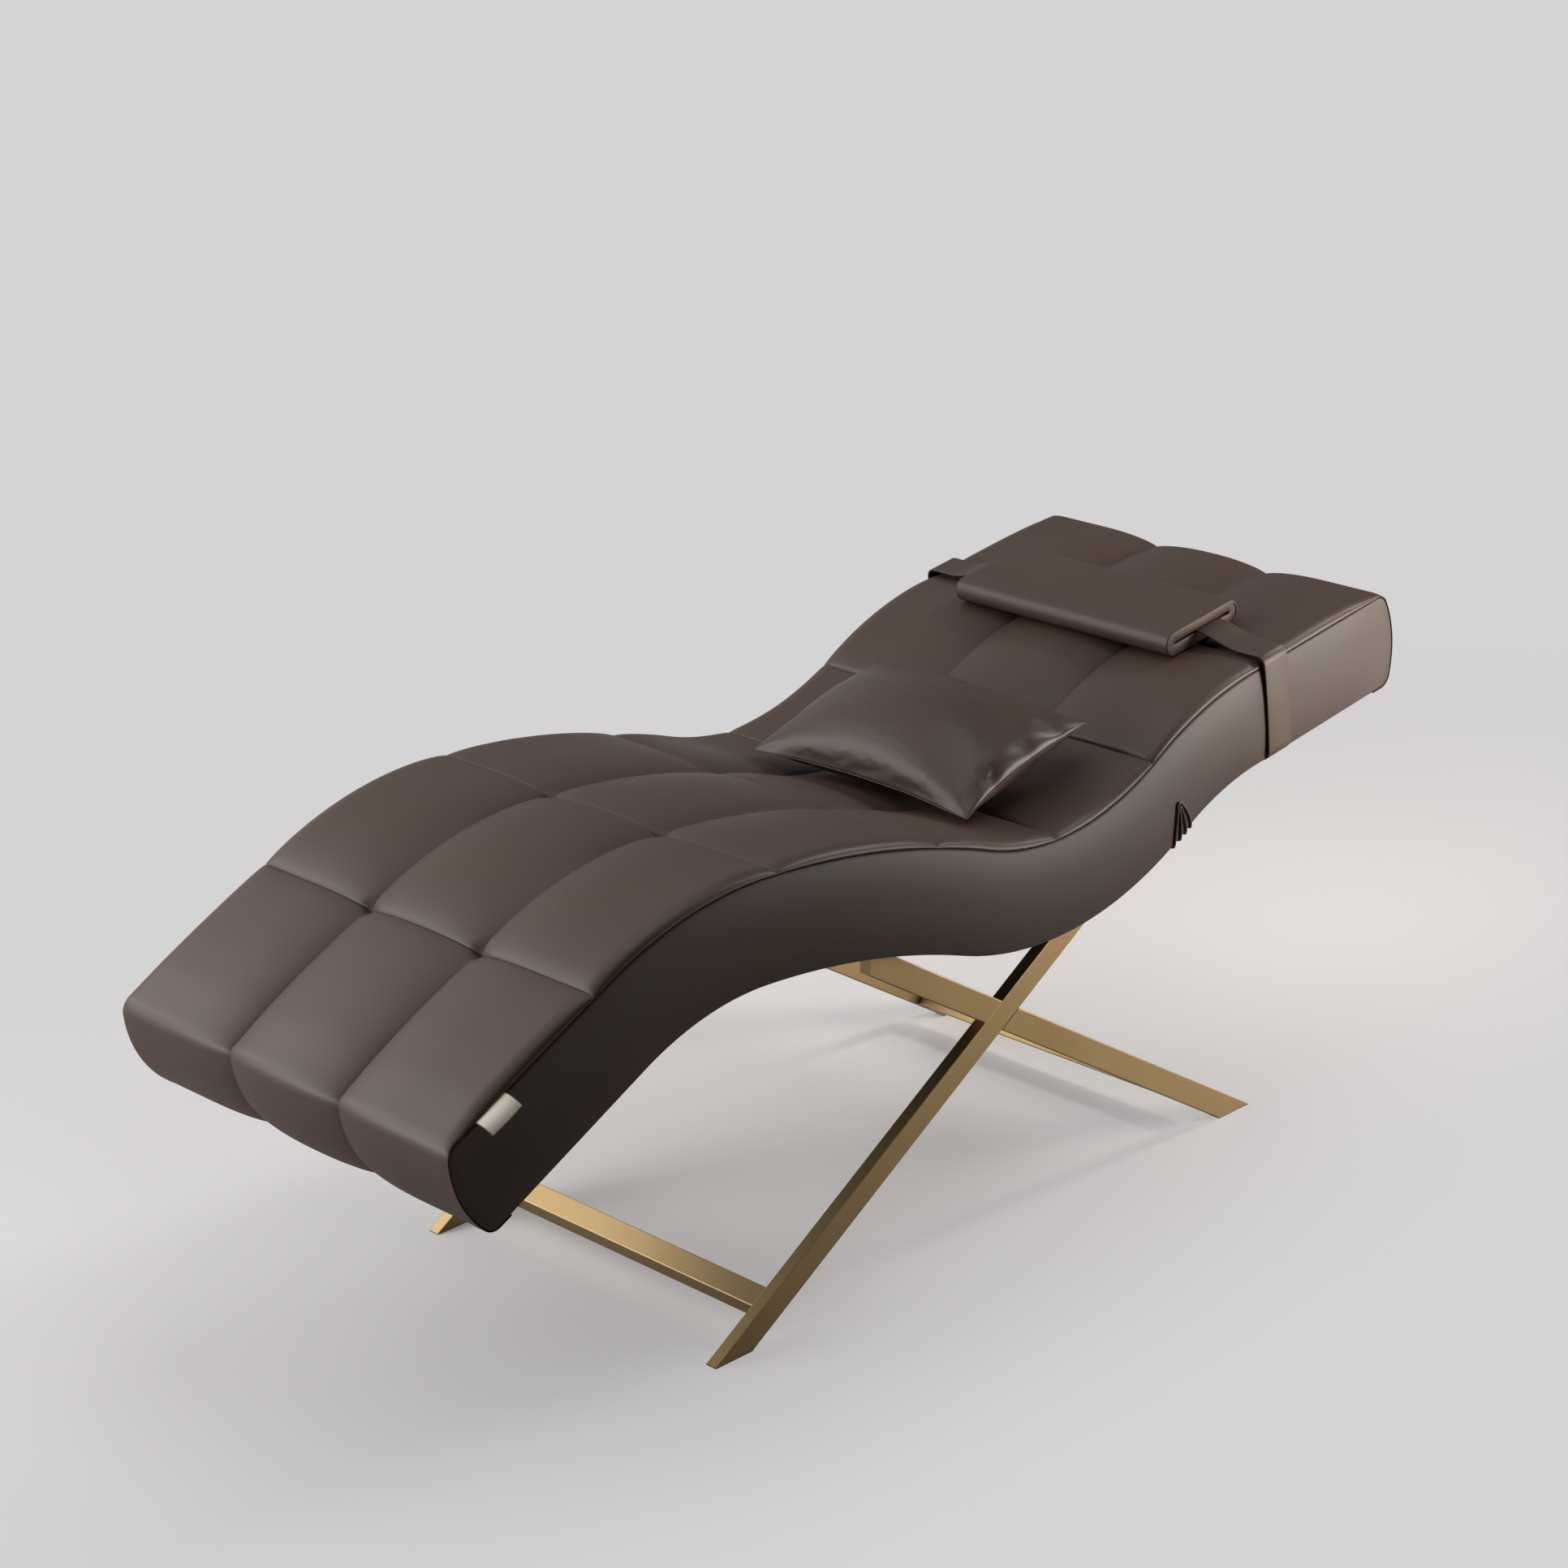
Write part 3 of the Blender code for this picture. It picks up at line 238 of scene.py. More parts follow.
quiltLeather = newMaterial("quiltedLeather", leather, quiltLook)
paintedShadePanelLeather = newMaterial("sideLeatherPaintedShade", leather, paintedShadePanelLook)
pillowLeather = newMaterial("pillowLeather", leather, pillowLook)
padLeather = newMaterial("padLeather", leather, padLook)
strapLeather = newMaterial("strapBand", leather, strapLook)
risingBrass = newMaterial("satinBrassRising", metal, brassLook)
fallingBrass = newMaterial("satinBrassFalling", metal, dict(brassLook, tilt=-31.0))
acrossBrass = newMaterial("satinBrassAcross", metal, dict(brassLook, stretch=(0.02, 1.0, 1.0)))
plateSteel = newMaterial("paintedSteel", metal, steelLook)
boltSteel = newMaterial("zincBolt", metal, boltLook)
dustCloth = newMaterial("dustCloth", woven, {"colours": ((0.012, 0.012, 0.012), (0.035, 0.034, 0.033)),
                                             "threads": 350.0, "direction": "X", "roughness": 0.9})
tabCloth = newMaterial("creamCloth", woven, {"colours": ((0.97, 0.89, 0.73), (0.98, 0.94, 0.83)),
                                             "threads": 500.0, "direction": "Z", "roughness": 0.8})
tabThread = newMaterial("goldThread", woven, {"colours": ((0.42, 0.30, 0.12), (0.66, 0.52, 0.26)),
                                              "threads": 700.0, "direction": "Z", "roughness": 0.5})
plywood = newMaterial("bentPlywood", bentPlywood)
foam = newMaterial("upholsteryFoam", openFoam)
glidePlastic = newMaterial("glidePlastic", blackPlastic)
print("materials made")


# Making meshes

def faceOutwards(mesh):
    bm = bmesh.new()
    bm.from_mesh(mesh)
    bmesh.ops.recalc_face_normals(bm, faces=bm.faces)
    if bm.calc_volume(signed=True) < 0:
        bmesh.ops.reverse_faces(bm, faces=bm.faces)
    bm.to_mesh(mesh)
    bm.free()


def makePiece(name, points, faces, materials, sharpAngle=None):
    mesh = bpy.data.meshes.new(name)
    mesh.from_pydata([tuple(point) for point in points], [], faces)
    for material in materials:
        mesh.materials.append(material)
    faceOutwards(mesh)
    mesh.shade_smooth()
    if sharpAngle:
        mesh.set_sharp_from_angle(angle=radians(sharpAngle))
    return addObject(name, mesh)


def shownMesh(item):
    shown = item.evaluated_get(bpy.context.evaluated_depsgraph_get())
    return bpy.data.meshes.new_from_object(shown)


def bridge(first, second):
    # Faces between two closed loops of point numbers
    turned = zip(first, first[1:] + first[:1], second[1:] + second[:1], second)
    return [tuple(face) for face in turned]


def joinRings(rings, closed=False):
    count = len(rings[0])
    points = [point for ring in rings for point in ring]
    loops = [list(range(start, start + count)) for start in range(0, len(points), count)]
    faces = []
    for first, second in zip(loops, loops[1:] + (loops[:1] if closed else [])):
        faces += bridge(first, second)
    if not closed:
        faces += [tuple(loops[0]), tuple(loops[-1])]
    return points, faces


def gridFaces(rows, columns, start=0):
    corners = [start + row * columns + column for row in range(rows - 1) for column in range(columns - 1)]
    return [(corner, corner + 1, corner + columns + 1, corner + columns) for corner in corners]


def gridRim(rows, columns):
    numbers = np.arange(rows * columns).reshape(rows, columns)
    return np.concatenate([numbers[0], numbers[1:, -1], numbers[-1, -2::-1], numbers[-2:0:-1, 0]]).tolist()


def easeShares(steps):
    return 0.5 - 0.5 * np.cos(np.linspace(0.0, pi, steps + 1))


def quarterTurn(steps):
    return np.linspace(0.0, quarter, steps)


# The bed's curve: a station along the centreline, and a height square to it

bed = {
    "footPlace": -0.92675, "footHeight": 0.430, "footSlope": 27.15, "footStraight": 0.295,
    "arcs": ((0.515, -29.85), (1.434, -16.5), (0.501, 50.5), (0.520, -22.65)),   # radius, turn in degrees
    "headStraight": 0.331, "halfWidth": 0.325, "halfThickness": 0.075,
    "endRadius": 0.167, "edgeRadius": 0.022,
    "endSteps": (12, 22),     # points on a fillet and on the bulge of an end
    "lip": 0.035, "gap": 0.0003, "panel": 0.006, "quiltShell": 0.0173,
    "search": (1200, 3),      # places tried first to find a point's station, and rounds that refine it
}
halfWidth = bed["halfWidth"]
halfThickness = bed["halfThickness"]


def follow(y, z, slope, bend, run):
    # Place and slope after a run that starts at y and z with this slope
    if not bend:
        return y + run * cos(slope), z + run * sin(slope), slope + 0.0 * run
    end = slope + bend * run
    return y + (np.sin(end) - sin(slope)) / bend, z - (np.cos(end) - cos(slope)) / bend, end


def curveRuns():
    runs = [(bed["footStraight"], 0.0)]
    runs += [(radius * abs(radians(turn)), copysign(1.0 / radius, turn)) for radius, turn in bed["arcs"]]
    runs.append((bed["headStraight"], 0.0))
    pieces = []
    station = 0.0
    y, z, slope = bed["footPlace"], bed["footHeight"], radians(bed["footSlope"])
    for length, bend in runs:
        pieces.append((station, y, z, slope, bend))
        y, z, slope = follow(y, z, slope, bend, length)
        station += length
    return pieces, station


bedRuns, bedLength = curveRuns()


def alongBed(stations):
    # Place and slope of the centreline at each station
    stations = np.atleast_1d(np.asarray(stations, float))
    places = np.zeros((3, *stations.shape))
    numbers = np.searchsorted([run[0] for run in bedRuns[1:]], stations, side="right")
    for number, (start, *place) in enumerate(bedRuns):
        part = numbers == number
        places[:, part] = follow(*place, stations[part] - start)
    return places


def onBed(stations, heights):
    y, z, slope = alongBed(stations)
    return y - heights * np.sin(slope), z + heights * np.cos(slope)


def bedSpot(x, stations, heights):
    # Points as rows of x, y, z
    y, z = onBed(stations, heights)
    return np.stack([np.broadcast_to(x, y.shape), y, z], axis=1)


def bedPoint(x, station, height):
    return tuple(bedSpot(x, np.array([station]), np.array([height]))[0])


def placeOnBed(y, z):
    # Station and height of points near the mattress
    tried, rounds = bed["search"]
    table = np.linspace(0.0, bedLength, tried)
    tableY, tableZ, _ = alongBed(table)
    nearest = np.argmin((tableY[None, :] - y[:, None]) ** 2 + (tableZ[None, :] - z[:, None]) ** 2, axis=1)
    stations = table[nearest]
    for _ in range(rounds):
        atY, atZ, slope = alongBed(stations)
        stations = stations + (y - atY) * np.cos(slope) + (z - atZ) * np.sin(slope)
    atY, atZ, slope = alongBed(stations)
    return stations, (z - atZ) * np.cos(slope) - (y - atY) * np.sin(slope)


def endOutline(inset):
    # Both fillets and the bulge of an end, from the underside up: outward, height and direction
    radius, fillet = bed["endRadius"], bed["edgeRadius"]
    reach = sqrt(radius ** 2 - halfThickness ** 2)
    filletHeight = halfThickness - fillet
    filletOut = sqrt((radius - fillet) ** 2 - filletHeight ** 2) - reach
    turn = atan2(filletHeight, filletOut + reach)
    filletSteps, bulgeSteps = bed["endSteps"]
    arcs = ((filletOut, -filletHeight, fillet, np.linspace(-quarter, -turn, filletSteps)),
            (-reach, 0.0, radius, np.linspace(-turn, turn, bulgeSteps)[1:-1]),
            (filletOut, filletHeight, fillet, np.linspace(turn, quarter, filletSteps)))
    return [(out + (size - inset) * cos(angle), height + (size - inset) * sin(angle), angle)
            for out, height, size, angles in arcs for angle in angles]


endReach = abs(endOutline(0.0)[-1][0])   # from a station at an end to where its outline meets the top


# Quilted top

quilt = {
    "columns": 3,
    "rowSeams": (0.1412, 0.2917, 0.4455, 0.5869, 0.7215, 0.8484),   # shares of the bed's length
    "rowCrown": (2.6, 0.55), "columnCrown": (2.1, 0.66), "seamSoftness": 0.05,
    "pitDepth": 0.002, "grooveLift": 0.004, "seamCrown": 0.009, "cellCrown": 0.005,
    "creaseDepth": 0.0024, "creaseWidth": 0.010, "slitDepth": 0.0016, "slitWidth": 0.0016,
    "crossDepth": 0.0060, "crossWidth": 0.011,
    "sideRoll": 0.022, "sideLow": 0.15,
    "sideStock": (0.0012, 0.2),     # least thickness over the side seam, and up to which share of the roll
    "stepsPerRow": 34, "stepsPerColumn": 34,
    "sideSteps": (26, 12, 7),       # across an outer column, down its roll and under the seam
    "endRoom": 0.004,               # between the end's outline and the first step of the top
    "endMarks": (0, 1, 6, 12, 23, 33, 38),   # steps of the end's path where the fade is given
    "endRowMarks": (0.27, 0.5),     # and after them, shares of the first row
    "endFade": (0.03, 0.04, 0.05, 0.06, 0.10, 0.15, 0.24, 0.38, 0.86, 1.0),
    "endGroove": (0.15, 0.35, 0.6, 0.9, 1.0, 1.0, 1.0, 0.9, 0.3, 0.0),
    "endGrooveDepth": 0.0085, "endBlend": 0.014, "fill": 0.9,
}

rowBounds = np.array([0.0] + [bedLength * share for share in quilt["rowSeams"]] + [bedLength])
columnWidth = 2.0 * halfWidth / quilt["columns"]
sideTuck = bed["panel"] + bed["gap"]


def crown(share, power, root):
    soft = quilt["seamSoftness"]
    full = np.maximum(0.0, 1.0 - np.abs(2.0 * share - 1.0) ** power)
    return ((full + soft) ** root - soft ** root) / ((1.0 + soft) ** root - soft ** root)


def quiltShares(x, stations):
    # How full the cell is along the bed and across it, and the distance to the nearest seams
    lastRow = len(rowBounds) - 2
    row = np.clip(np.searchsorted(rowBounds, stations, side="right") - 1, 0, lastRow)
    share = (stations - rowBounds[row]) / (rowBounds[row + 1] - rowBounds[row])
    share = np.where(row == 0, np.maximum(share, 0.5), share)
    share = np.where(row == lastRow, np.minimum(share, 0.5), share)
    across = np.where(np.abs(x) < columnWidth / 2, (x + columnWidth / 2) / columnWidth,
                      np.minimum((np.abs(x) - columnWidth / 2) / columnWidth, 0.5))
    rowGap = np.min(np.abs(stations[..., None] - rowBounds[1:-1]), axis=-1)
    columnGap = np.abs(np.abs(x) - columnWidth / 2)
    return crown(share, *quilt["rowCrown"]), crown(across, *quilt["columnCrown"]), rowGap, columnGap


def quiltHeight(x, stations):
    row, column, rowGap, columnGap = quiltShares(x, stations)
    groove = quilt["grooveLift"] * row - quilt["pitDepth"]
    cell = quilt["seamCrown"] + quilt["cellCrown"] * row
    crease = quilt["creaseDepth"] * np.exp(-rowGap / quilt["creaseWidth"])
    crease = crease + quilt["slitDepth"] * np.exp(-(rowGap / quilt["slitWidth"]) ** 2)
    cross = quilt["crossDepth"] * np.exp(-(rowGap ** 2 + columnGap ** 2) / quilt["crossWidth"] ** 2)
    return groove * (1.0 - column) + cell * column - crease - cross


def quiltSection():
    # x and roll share from the far seam to the near seam
    roll, low = quilt["sideRoll"], quilt["sideLow"]
    outerSteps, rollSteps, tuckSteps = quilt["sideSteps"]
    middle = -columnWidth / 2 + columnWidth * easeShares(quilt["stepsPerColumn"])
    outer = columnWidth / 2 + (columnWidth - roll) * (1.0 - np.cos(quarterTurn(outerSteps)[1:]))
    section = [(x, 1.0) for x in (*middle[middle >= 0], *outer)]
    for angle in quarterTurn(rollSteps)[1:]:
        section.append((halfWidth - roll + roll * sin(angle), low + (1.0 - low) * cos(angle)))
    for angle in quarterTurn(tuckSteps)[1:]:
        section.append((halfWidth - sideTuck * (1.0 - cos(angle)), low * (1.0 - sin(angle))))
    mirrored = [(-x, share) for x, share in reversed(section)]
    return np.array(mirrored[:-1] + section)


def quiltStations():
    stations = []
    for low, high in zip(rowBounds, rowBounds[1:]):
        stations += list(low + (high - low) * easeShares(quilt["stepsPerRow"])[:-1])
    edge = endReach + quilt["endRoom"]
    return [station for station in stations if edge < station < bedLength - edge]


def quiltPath():
    # From the foot end's turned-under lip, over the top, to the head end's lip
    foot = [(bed["lip"], -halfThickness, 0.0, -1.0)]
    foot += [(-out, height, -cos(angle), sin(angle)) for out, height, angle in endOutline(0.0)]
    head = [(bedLength - station, height, -along, up) for station, height, along, up in reversed(foot)]
    top = [(station, halfThickness, 0.0, 1.0) for station in quiltStations()]
    return np.array(foot + top + head), len(foot)


def endShares(path, footCount):
    # How much of the crown and of the end grooves each place on the path has
    fade, pull = np.ones(len(path)), np.zeros(len(path))
    run = np.concatenate([[0.0], np.cumsum(np.hypot(*np.diff(path[:, :2], axis=0).T))])
    places = list(run[[*quilt["endMarks"], footCount - 1]])
    places += [places[-1] + rowBounds[1] * share - path[footCount - 1, 0] for share in quilt["endRowMarks"]]
    for distance in (run, run[-1] - run):
        near = distance < places[-1]
        fade[near] = np.interp(distance[near], places, quilt["endFade"])
        pull[near] = np.interp(distance[near], places, quilt["endGroove"])
    blend = np.exp(-((run[:, None] - run[None, :]) / quilt["endBlend"]) ** 2) * np.gradient(run)
    blend /= blend.sum(axis=1, keepdims=True)
    return blend @ fade, blend @ pull * quilt["endGrooveDepth"]


def makeQuiltedTop():
    path, footCount = quiltPath()
    x, roll = quiltSection().T
    inner = halfWidth - sideTuck
    shell = bed["quiltShell"]
    stock, stockShare = quilt["sideStock"]
    rings = []
    for (station, height, along, up), share, depth in zip(path, *endShares(path, footCount)):
        stations = np.full_like(x, station)
        column = quiltShares(x, stations)[1]
        lift = quiltHeight(x, stations) * share * roll - depth * (1.0 - column)
        least = np.maximum(lift, stock * np.minimum(1.0, roll / stockShare))
        lift = np.where((roll > 0.0) & (roll < 1.0), least, lift)
        outside = bedSpot(x, station + along * lift, height + up * lift)
        under = bedSpot(np.array([inner, -inner]), np.full(2, station - along * shell),
                        np.full(2, height - up * shell))
        rings.append(np.vstack([outside, under]))
    points, faces = joinRings(rings)
    return makePiece("quiltedTop", points, faces, [quiltLeather], sharpAngle=60)


quiltedTop = makeQuiltedTop()
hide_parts("quilted_top")
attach(quiltedTop, "bed")
print("quilted top made")


# Side panels and the foam inside

panel = {
    "edgeRadius": 0.0032, "edgeRounding": 0.95, "edgeSteps": 5,
    "bulge": 0.0085, "bulgePower": 2.4,
    "endFade": (0.12, 0.15),              # length of the fade at both ends, and the bulge's share right there
    "headFlat": (1.590, 0.070, 0.0045),   # where the flatter head end starts, its blend and how much flatter
    "stationCount": 150, "heightCount": 26,
    "foamInset": 0.0018, "foamRounding": 0.002, "foamSideGap": 0.0005,
}


def panelGrid(inset):
    # Stations and heights of a grid that fills the mattress's outline
    end = np.array([(out, height) for out, height, _ in endOutline(inset)])
    rows = np.sin(np.linspace(-quarter, quarter, panel["heightCount"] + 1))
    heights = rows * (halfThickness - inset)
    outs = np.interp(heights, end[:, 1], end[:, 0])
    shares = np.linspace(0.0, 1.0, panel["stationCount"] + 1)
    stations = -outs[:, None] + shares[None, :] * (bedLength + 2.0 * outs[:, None])
    return stations, np.repeat(heights[:, None], len(shares), axis=1)


def panelSwell(stations, heights):
    # Share of the bulge: full at half height, less towards both ends and where the strap slides
    reach = np.minimum(stations, bedLength - stations)
    place, blend, depth = panel["headFlat"]
    fadeLength, endShare = panel["endFade"]
    rise = np.clip((stations - place) / blend, 0.0, 1.0)
    dent = depth / panel["bulge"] * rise * rise * (3.0 - 2.0 * rise)
    full = 1.0 - np.abs(heights / halfThickness) ** panel["bulgePower"]
    return full * np.clip(reach / fadeLength + endShare, 0.0, 1.0) * (1.0 - dent)


def outlineNormal(height, end, cut):
    # Square to the outline that lies cut inside the mattress's: end is -1 at the foot, 1 at the head, else 0
    if not end:
        return 0.0, copysign(1.0, height)
    top = halfThickness - bed["edgeRadius"]
    if abs(height) <= top:
        angle = asin(height / (bed["endRadius"] - cut))
    else:
        angle = copysign(asin(min(1.0, (abs(height) - top) / (bed["edgeRadius"] - cut))), height)
    return end * cos(angle), sin(angle)


def panelSolid(name, lowX, highX, inset, rounding, bulge, material):
    # A slab with the mattress's outline, between two planes, with rounded rims
    stations, heights = panelGrid(inset + rounding)
    rows, columns = stations.shape
    points, faces = [], []
    for x, push in ((lowX, -bulge[0]), (highX, bulge[1])):
        side = bedSpot(x, stations.ravel(), heights.ravel())
        side[:, 0] += push * panelSwell(stations, heights).ravel()
        faces += gridFaces(rows, columns, len(points))
        points += list(side)
    rim = gridRim(rows, columns)
    rimStations, rimHeights = stations.ravel()[rim], heights.ravel()[rim]
    ends = [{0: -1.0, columns - 1: 1.0}.get(number % columns, 0.0) for number in rim]
    normals = np.array([outlineNormal(height, end, inset + rounding) for height, end in zip(rimHeights, ends)])
    rolls = [(rounding * (1.0 - cos(angle)), rounding * sin(angle))
             for angle in quarterTurn(panel["edgeSteps"])[1:]]
    loops = [rim]
    sides = [(lowX + step, move) for step, move in rolls]
    sides += [(highX - step, move) for step, move in reversed(rolls)]
    for x, move in sides:
        loops.append(list(range(len(points), len(points) + len(rim))))
        points += list(bedSpot(x, rimStations + normals[:, 0] * move, rimHeights + normals[:, 1] * move))
    loops.append([rows * columns + number for number in rim])
    for first, second in zip(loops, loops[1:]):
        faces += bridge(first, second)
    return makePiece(name, points, faces, [material], sharpAngle=50)


innerX = halfWidth - bed["panel"]
foamX = innerX - panel["foamSideGap"]
panelRounding = panel["edgeRadius"] * panel["edgeRounding"]
nearPanel = panelSolid("sidePanelNear", innerX, halfWidth, bed["gap"], panelRounding,
                       (0.0, panel["bulge"]), paintedShadePanelLeather)
farPanel = panelSolid("sidePanelFar", -halfWidth, -innerX, bed["gap"], panelRounding,
                      (panel["bulge"], 0.0), paintedShadePanelLeather)
foamBlock = panelSolid("foamBlock", -foamX, foamX, bed["quiltShell"] + panel["foamInset"],
                       panel["foamRounding"], (0.0, 0.0), foam)
for piece, node, slotName in ((nearPanel, "side_panel_near", "side_leather"),
                              (farPanel, "side_panel_far", "side_leather"), (foamBlock, "foam_core", "foam")):
    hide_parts(node)
    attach(piece, "bed")
print("side panels and foam made")


# Blank cloth tab in the near side seam

tab = {
    "start": 0.052, "length": 0.054, "rootDepth": 0.0036, "standOff": 0.0275, "drop": 0.0130,
    "curl": 1.15,             # radians
    "thickness": 0.0011, "border": 0.0011,
    "borderShare": 0.955,     # where the lower border starts, as a share of the curl
    "edgeEase": 0.35,         # less makes both ends thinner
    "bow": 0.0012,
    "steps": (19, 17),        # along and down
}


def makeTab():
    # Out of the seam, over and down, with a narrow woven border of gold thread
    alongSteps, downSteps = tab["steps"]
    inside = np.linspace(tab["border"], tab["length"] - tab["border"], alongSteps)
    along = np.concatenate([[0.0], inside, [tab["length"]]])
    angles = np.concatenate([np.linspace(0.0, tab["borderShare"], downSteps), [1.0]]) * tab["curl"]
    reach, fall = tab["standOff"] / sin(tab["curl"]), tab["drop"] / (1.0 - cos(tab["curl"]))
    rootX = halfWidth - tab["rootDepth"]
    rootHeight = halfThickness + tab["thickness"] / 2
    rows, columns = len(angles), len(along)
    ease = np.array([tab["edgeEase"]] + [1.0] * alongSteps + [tab["edgeEase"]])
    points = []
    for side in (1.0, -1.0):
        for angle in angles:
            normal = (fall * sin(angle), reach * cos(angle))
            size = hypot(*normal)
            move = side * tab["thickness"] / 2
            bow = tab["bow"] * sin(angle) * np.sin(pi * along / tab["length"])
            x = rootX + reach * sin(angle) + normal[0] / size * move + bow
            x = x - side * (1.0 - ease) * tab["thickness"] / 3
            height = rootHeight - fall * (1.0 - cos(angle)) + normal[1] / size * move
            points += list(bedSpot(x, tab["start"] + along, np.full(columns, height)))
    back = rows * columns
    rim = gridRim(rows, columns)
    faces = gridFaces(rows, columns) + gridFaces(rows, columns, back)
    faces += bridge(rim, [number + back for number in rim])
    borders = [column in (0, columns - 2) or row == rows - 2
               for row in range(rows - 1) for column in range(columns - 1)]
    piece = makePiece("blankTab", points, faces, [tabCloth, tabThread], sharpAngle=60)
    for face, border in zip(piece.data.polygons, borders * 2 + [True] * len(rim)):
        face.material_index = 1 if border else 0
    return piece


blankTab = makeTab()
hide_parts("label_tab")
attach(blankTab, "bed")


# Bands and piping: one Geometry Nodes tree draws a rounded band along a path

def startTree(name, inputs):
    tree = bpy.data.node_groups.new(name, "GeometryNodeTree")
    sockets = tree.interface
    for label, kind in (("Geometry", "Geometry"), *inputs, ("Material", "Material")):
        sockets.new_socket(label, in_out="INPUT", socket_type="NodeSocket" + kind)
    sockets.new_socket("Geometry", in_out="OUTPUT", socket_type="NodeSocketGeometry")
    return tree, addNode(tree, "NodeGroupInput").outputs


def finishTree(tree, geometry, material):
    real = addNode(tree, "GeometryNodeRealizeInstances", {"Geometry": geometry})
    paint = addNode(tree, "GeometryNodeSetMaterial", {"Geometry": real.outputs[0], "Material": material})
    addNode(tree, "NodeGroupOutput", {0: paint.outputs[0]})
    return tree


def bandTree():
    tree, start = startTree("roundedBand", (("Width", "Float"), ("Thickness", "Float"), ("Rounding", "Float")))
    profile = addNode(tree, "GeometryNodeCurvePrimitiveQuadrilateral",
                      {"Width": start["Width"], "Height": start["Thickness"]})
    fillet = addNode(tree, "GeometryNodeFilletCurve",
                     {"Curve": profile.outputs[0], "Radius": start["Rounding"], "Count": 3}, mode="POLY")
    sweep = addNode(tree, "GeometryNodeCurveToMesh",
                    {"Curve": start["Geometry"], "Profile Curve": fillet.outputs[0], "Fill Caps": True})
    smooth = addNode(tree, "GeometryNodeSetShadeSmooth", {"Geometry": sweep.outputs[0]})
    return finishTree(tree, smooth.outputs[0], start["Material"])


def evaluateTree(source, tree, values, name):
    # Runs the tree on an object and keeps the result as a plain mesh
    modifier = source.modifiers.new("shape", "NODES")
    modifier.node_group = tree
    for socket in tree.interface.items_tree:
        if socket.item_type == "SOCKET" and socket.in_out == "INPUT" and socket.name in values:
            modifier[socket.identifier] = values[socket.name]
    item = addObject(name, shownMesh(source))
    bpy.data.objects.remove(source)
    return item


def pathCurve(paths, closed=False):
    data = bpy.data.curves.new("path", "CURVE")
    assign(data, {"dimensions": "3D", "twist_mode": "MINIMUM"})
    for points in paths:
        spline = data.splines.new("POLY")
        spline.points.add(len(points) - 1)
        for place, point in zip(spline.points, points):
            place.co = (*point, 1.0)
        spline.use_cyclic_u = closed
    return addObject("path", data)


roundedBand = bandTree()


def makeBand(name, points, width, thickness, rounding, material, closed=False):
    values = {"Width": width, "Thickness": thickness, "Rounding": rounding, "Material": material}
    piece = evaluateTree(pathCurve([points], closed), roundedBand, values, name)
    faceOutwards(piece.data)
    piece.data.set_sharp_from_angle(angle=radians(60))
    return piece


# Two leather loops round the lower edge of the near side

loops = {
    "station": 1.409, "lean": 0.010, "thickness": 0.0026, "depth": 0.0036,
    "rounding": 0.0006, "corner": 0.0055, "turnUnder": 0.022, "bow": 1.7,
    "steps": (13, 7, 6),                # up a strand, round half the tip and round the edge
    "outer": (0.064, 0.040, 0.008),     # height, spread at the foot, width at the tip
    "inner": (0.056, 0.012, 0.0025),
}


def loopPath(height, spread, tip):
    # Up one side of the inverted V, round its tip and down again, with both feet under the edge
    strandSteps, tipSteps, edgeSteps = loops["steps"]
    rise = [(spread / 2 + (tip - spread) / 2 * share ** loops["bow"], (height - tip / 2) * share)
            for share in np.linspace(0.0, 1.0, strandSteps)]
    rise += [(tip / 2 * cos(angle), height - tip / 2 + tip / 2 * sin(angle))
             for angle in quarterTurn(tipSteps)[1:]]
    strand = [(-across, up) for across, up in rise] + list(reversed(rise[:-1]))
    corner = loops["corner"]
    side = halfWidth + bed["gap"] + loops["depth"] / 2
    under = -halfThickness - bed["gap"] - loops["depth"] / 2
    foot = [(side - loops["turnUnder"], under)]
    foot += [(side - corner + corner * sin(angle), under + corner - corner * cos(angle))
             for angle in quarterTurn(edgeSteps)]
    spots = [(x, strand[0][0], level) for x, level in foot]
    for across, up in strand[1:-1]:
        swell = panelSwell(np.array([loops["station"] + across]), np.array([up - halfThickness]))[0]
        spots.append((side + panel["bulge"] * swell, across, up - halfThickness))
    spots += [(x, strand[-1][0], level) for x, level in reversed(foot)]
    path = []
    for x, across, level in spots:
        lean = loops["lean"] * max(0.0, level + halfThickness) / loops["outer"][0]
        path.append(bedPoint(x, loops["station"] + across + lean, level))
    return path


for name, node in (("outer", "side_loop_outer"), ("inner", "side_loop_inner")):
    piece = makeBand(name + "SideLoop", loopPath(*loops[name]), loops["thickness"], loops["depth"],
                     loops["rounding"], strapLeather)
    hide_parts(node)
    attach(piece, "bed")
print("tab and loops made")


# Neck pad, drawn about its own middle and then set on the bed

pad = {
    "length": 0.417, "depth": 0.172, "thickness": 0.037, "station": 1.661,
    "height": 0.1078,         # middle of the pad above the bed's centreline
    "rim": 0.0042,
    "rimShare": 0.55,         # how far in the raised rim goes, as a share of its height
    "recess": 0.0016, "recessInset": 0.0023, "slitDepth": 0.130, "slitHeight": 0.0038, "slitEdge": 0.0008,
    "slitReach": 0.004,       # how far the slit goes in from each end
    "faceShares": (0.4, 0.86),   # rings of an end's face, from its rim to the slit
    "bodyInset": 0.012, "bodySteps": 30,
    "rimSteps": (7, 6),       # round the rim and down into the recess
    "outlineSteps": (17, 8),  # round an edge, and between the edges
    "fill": 0.9,
}

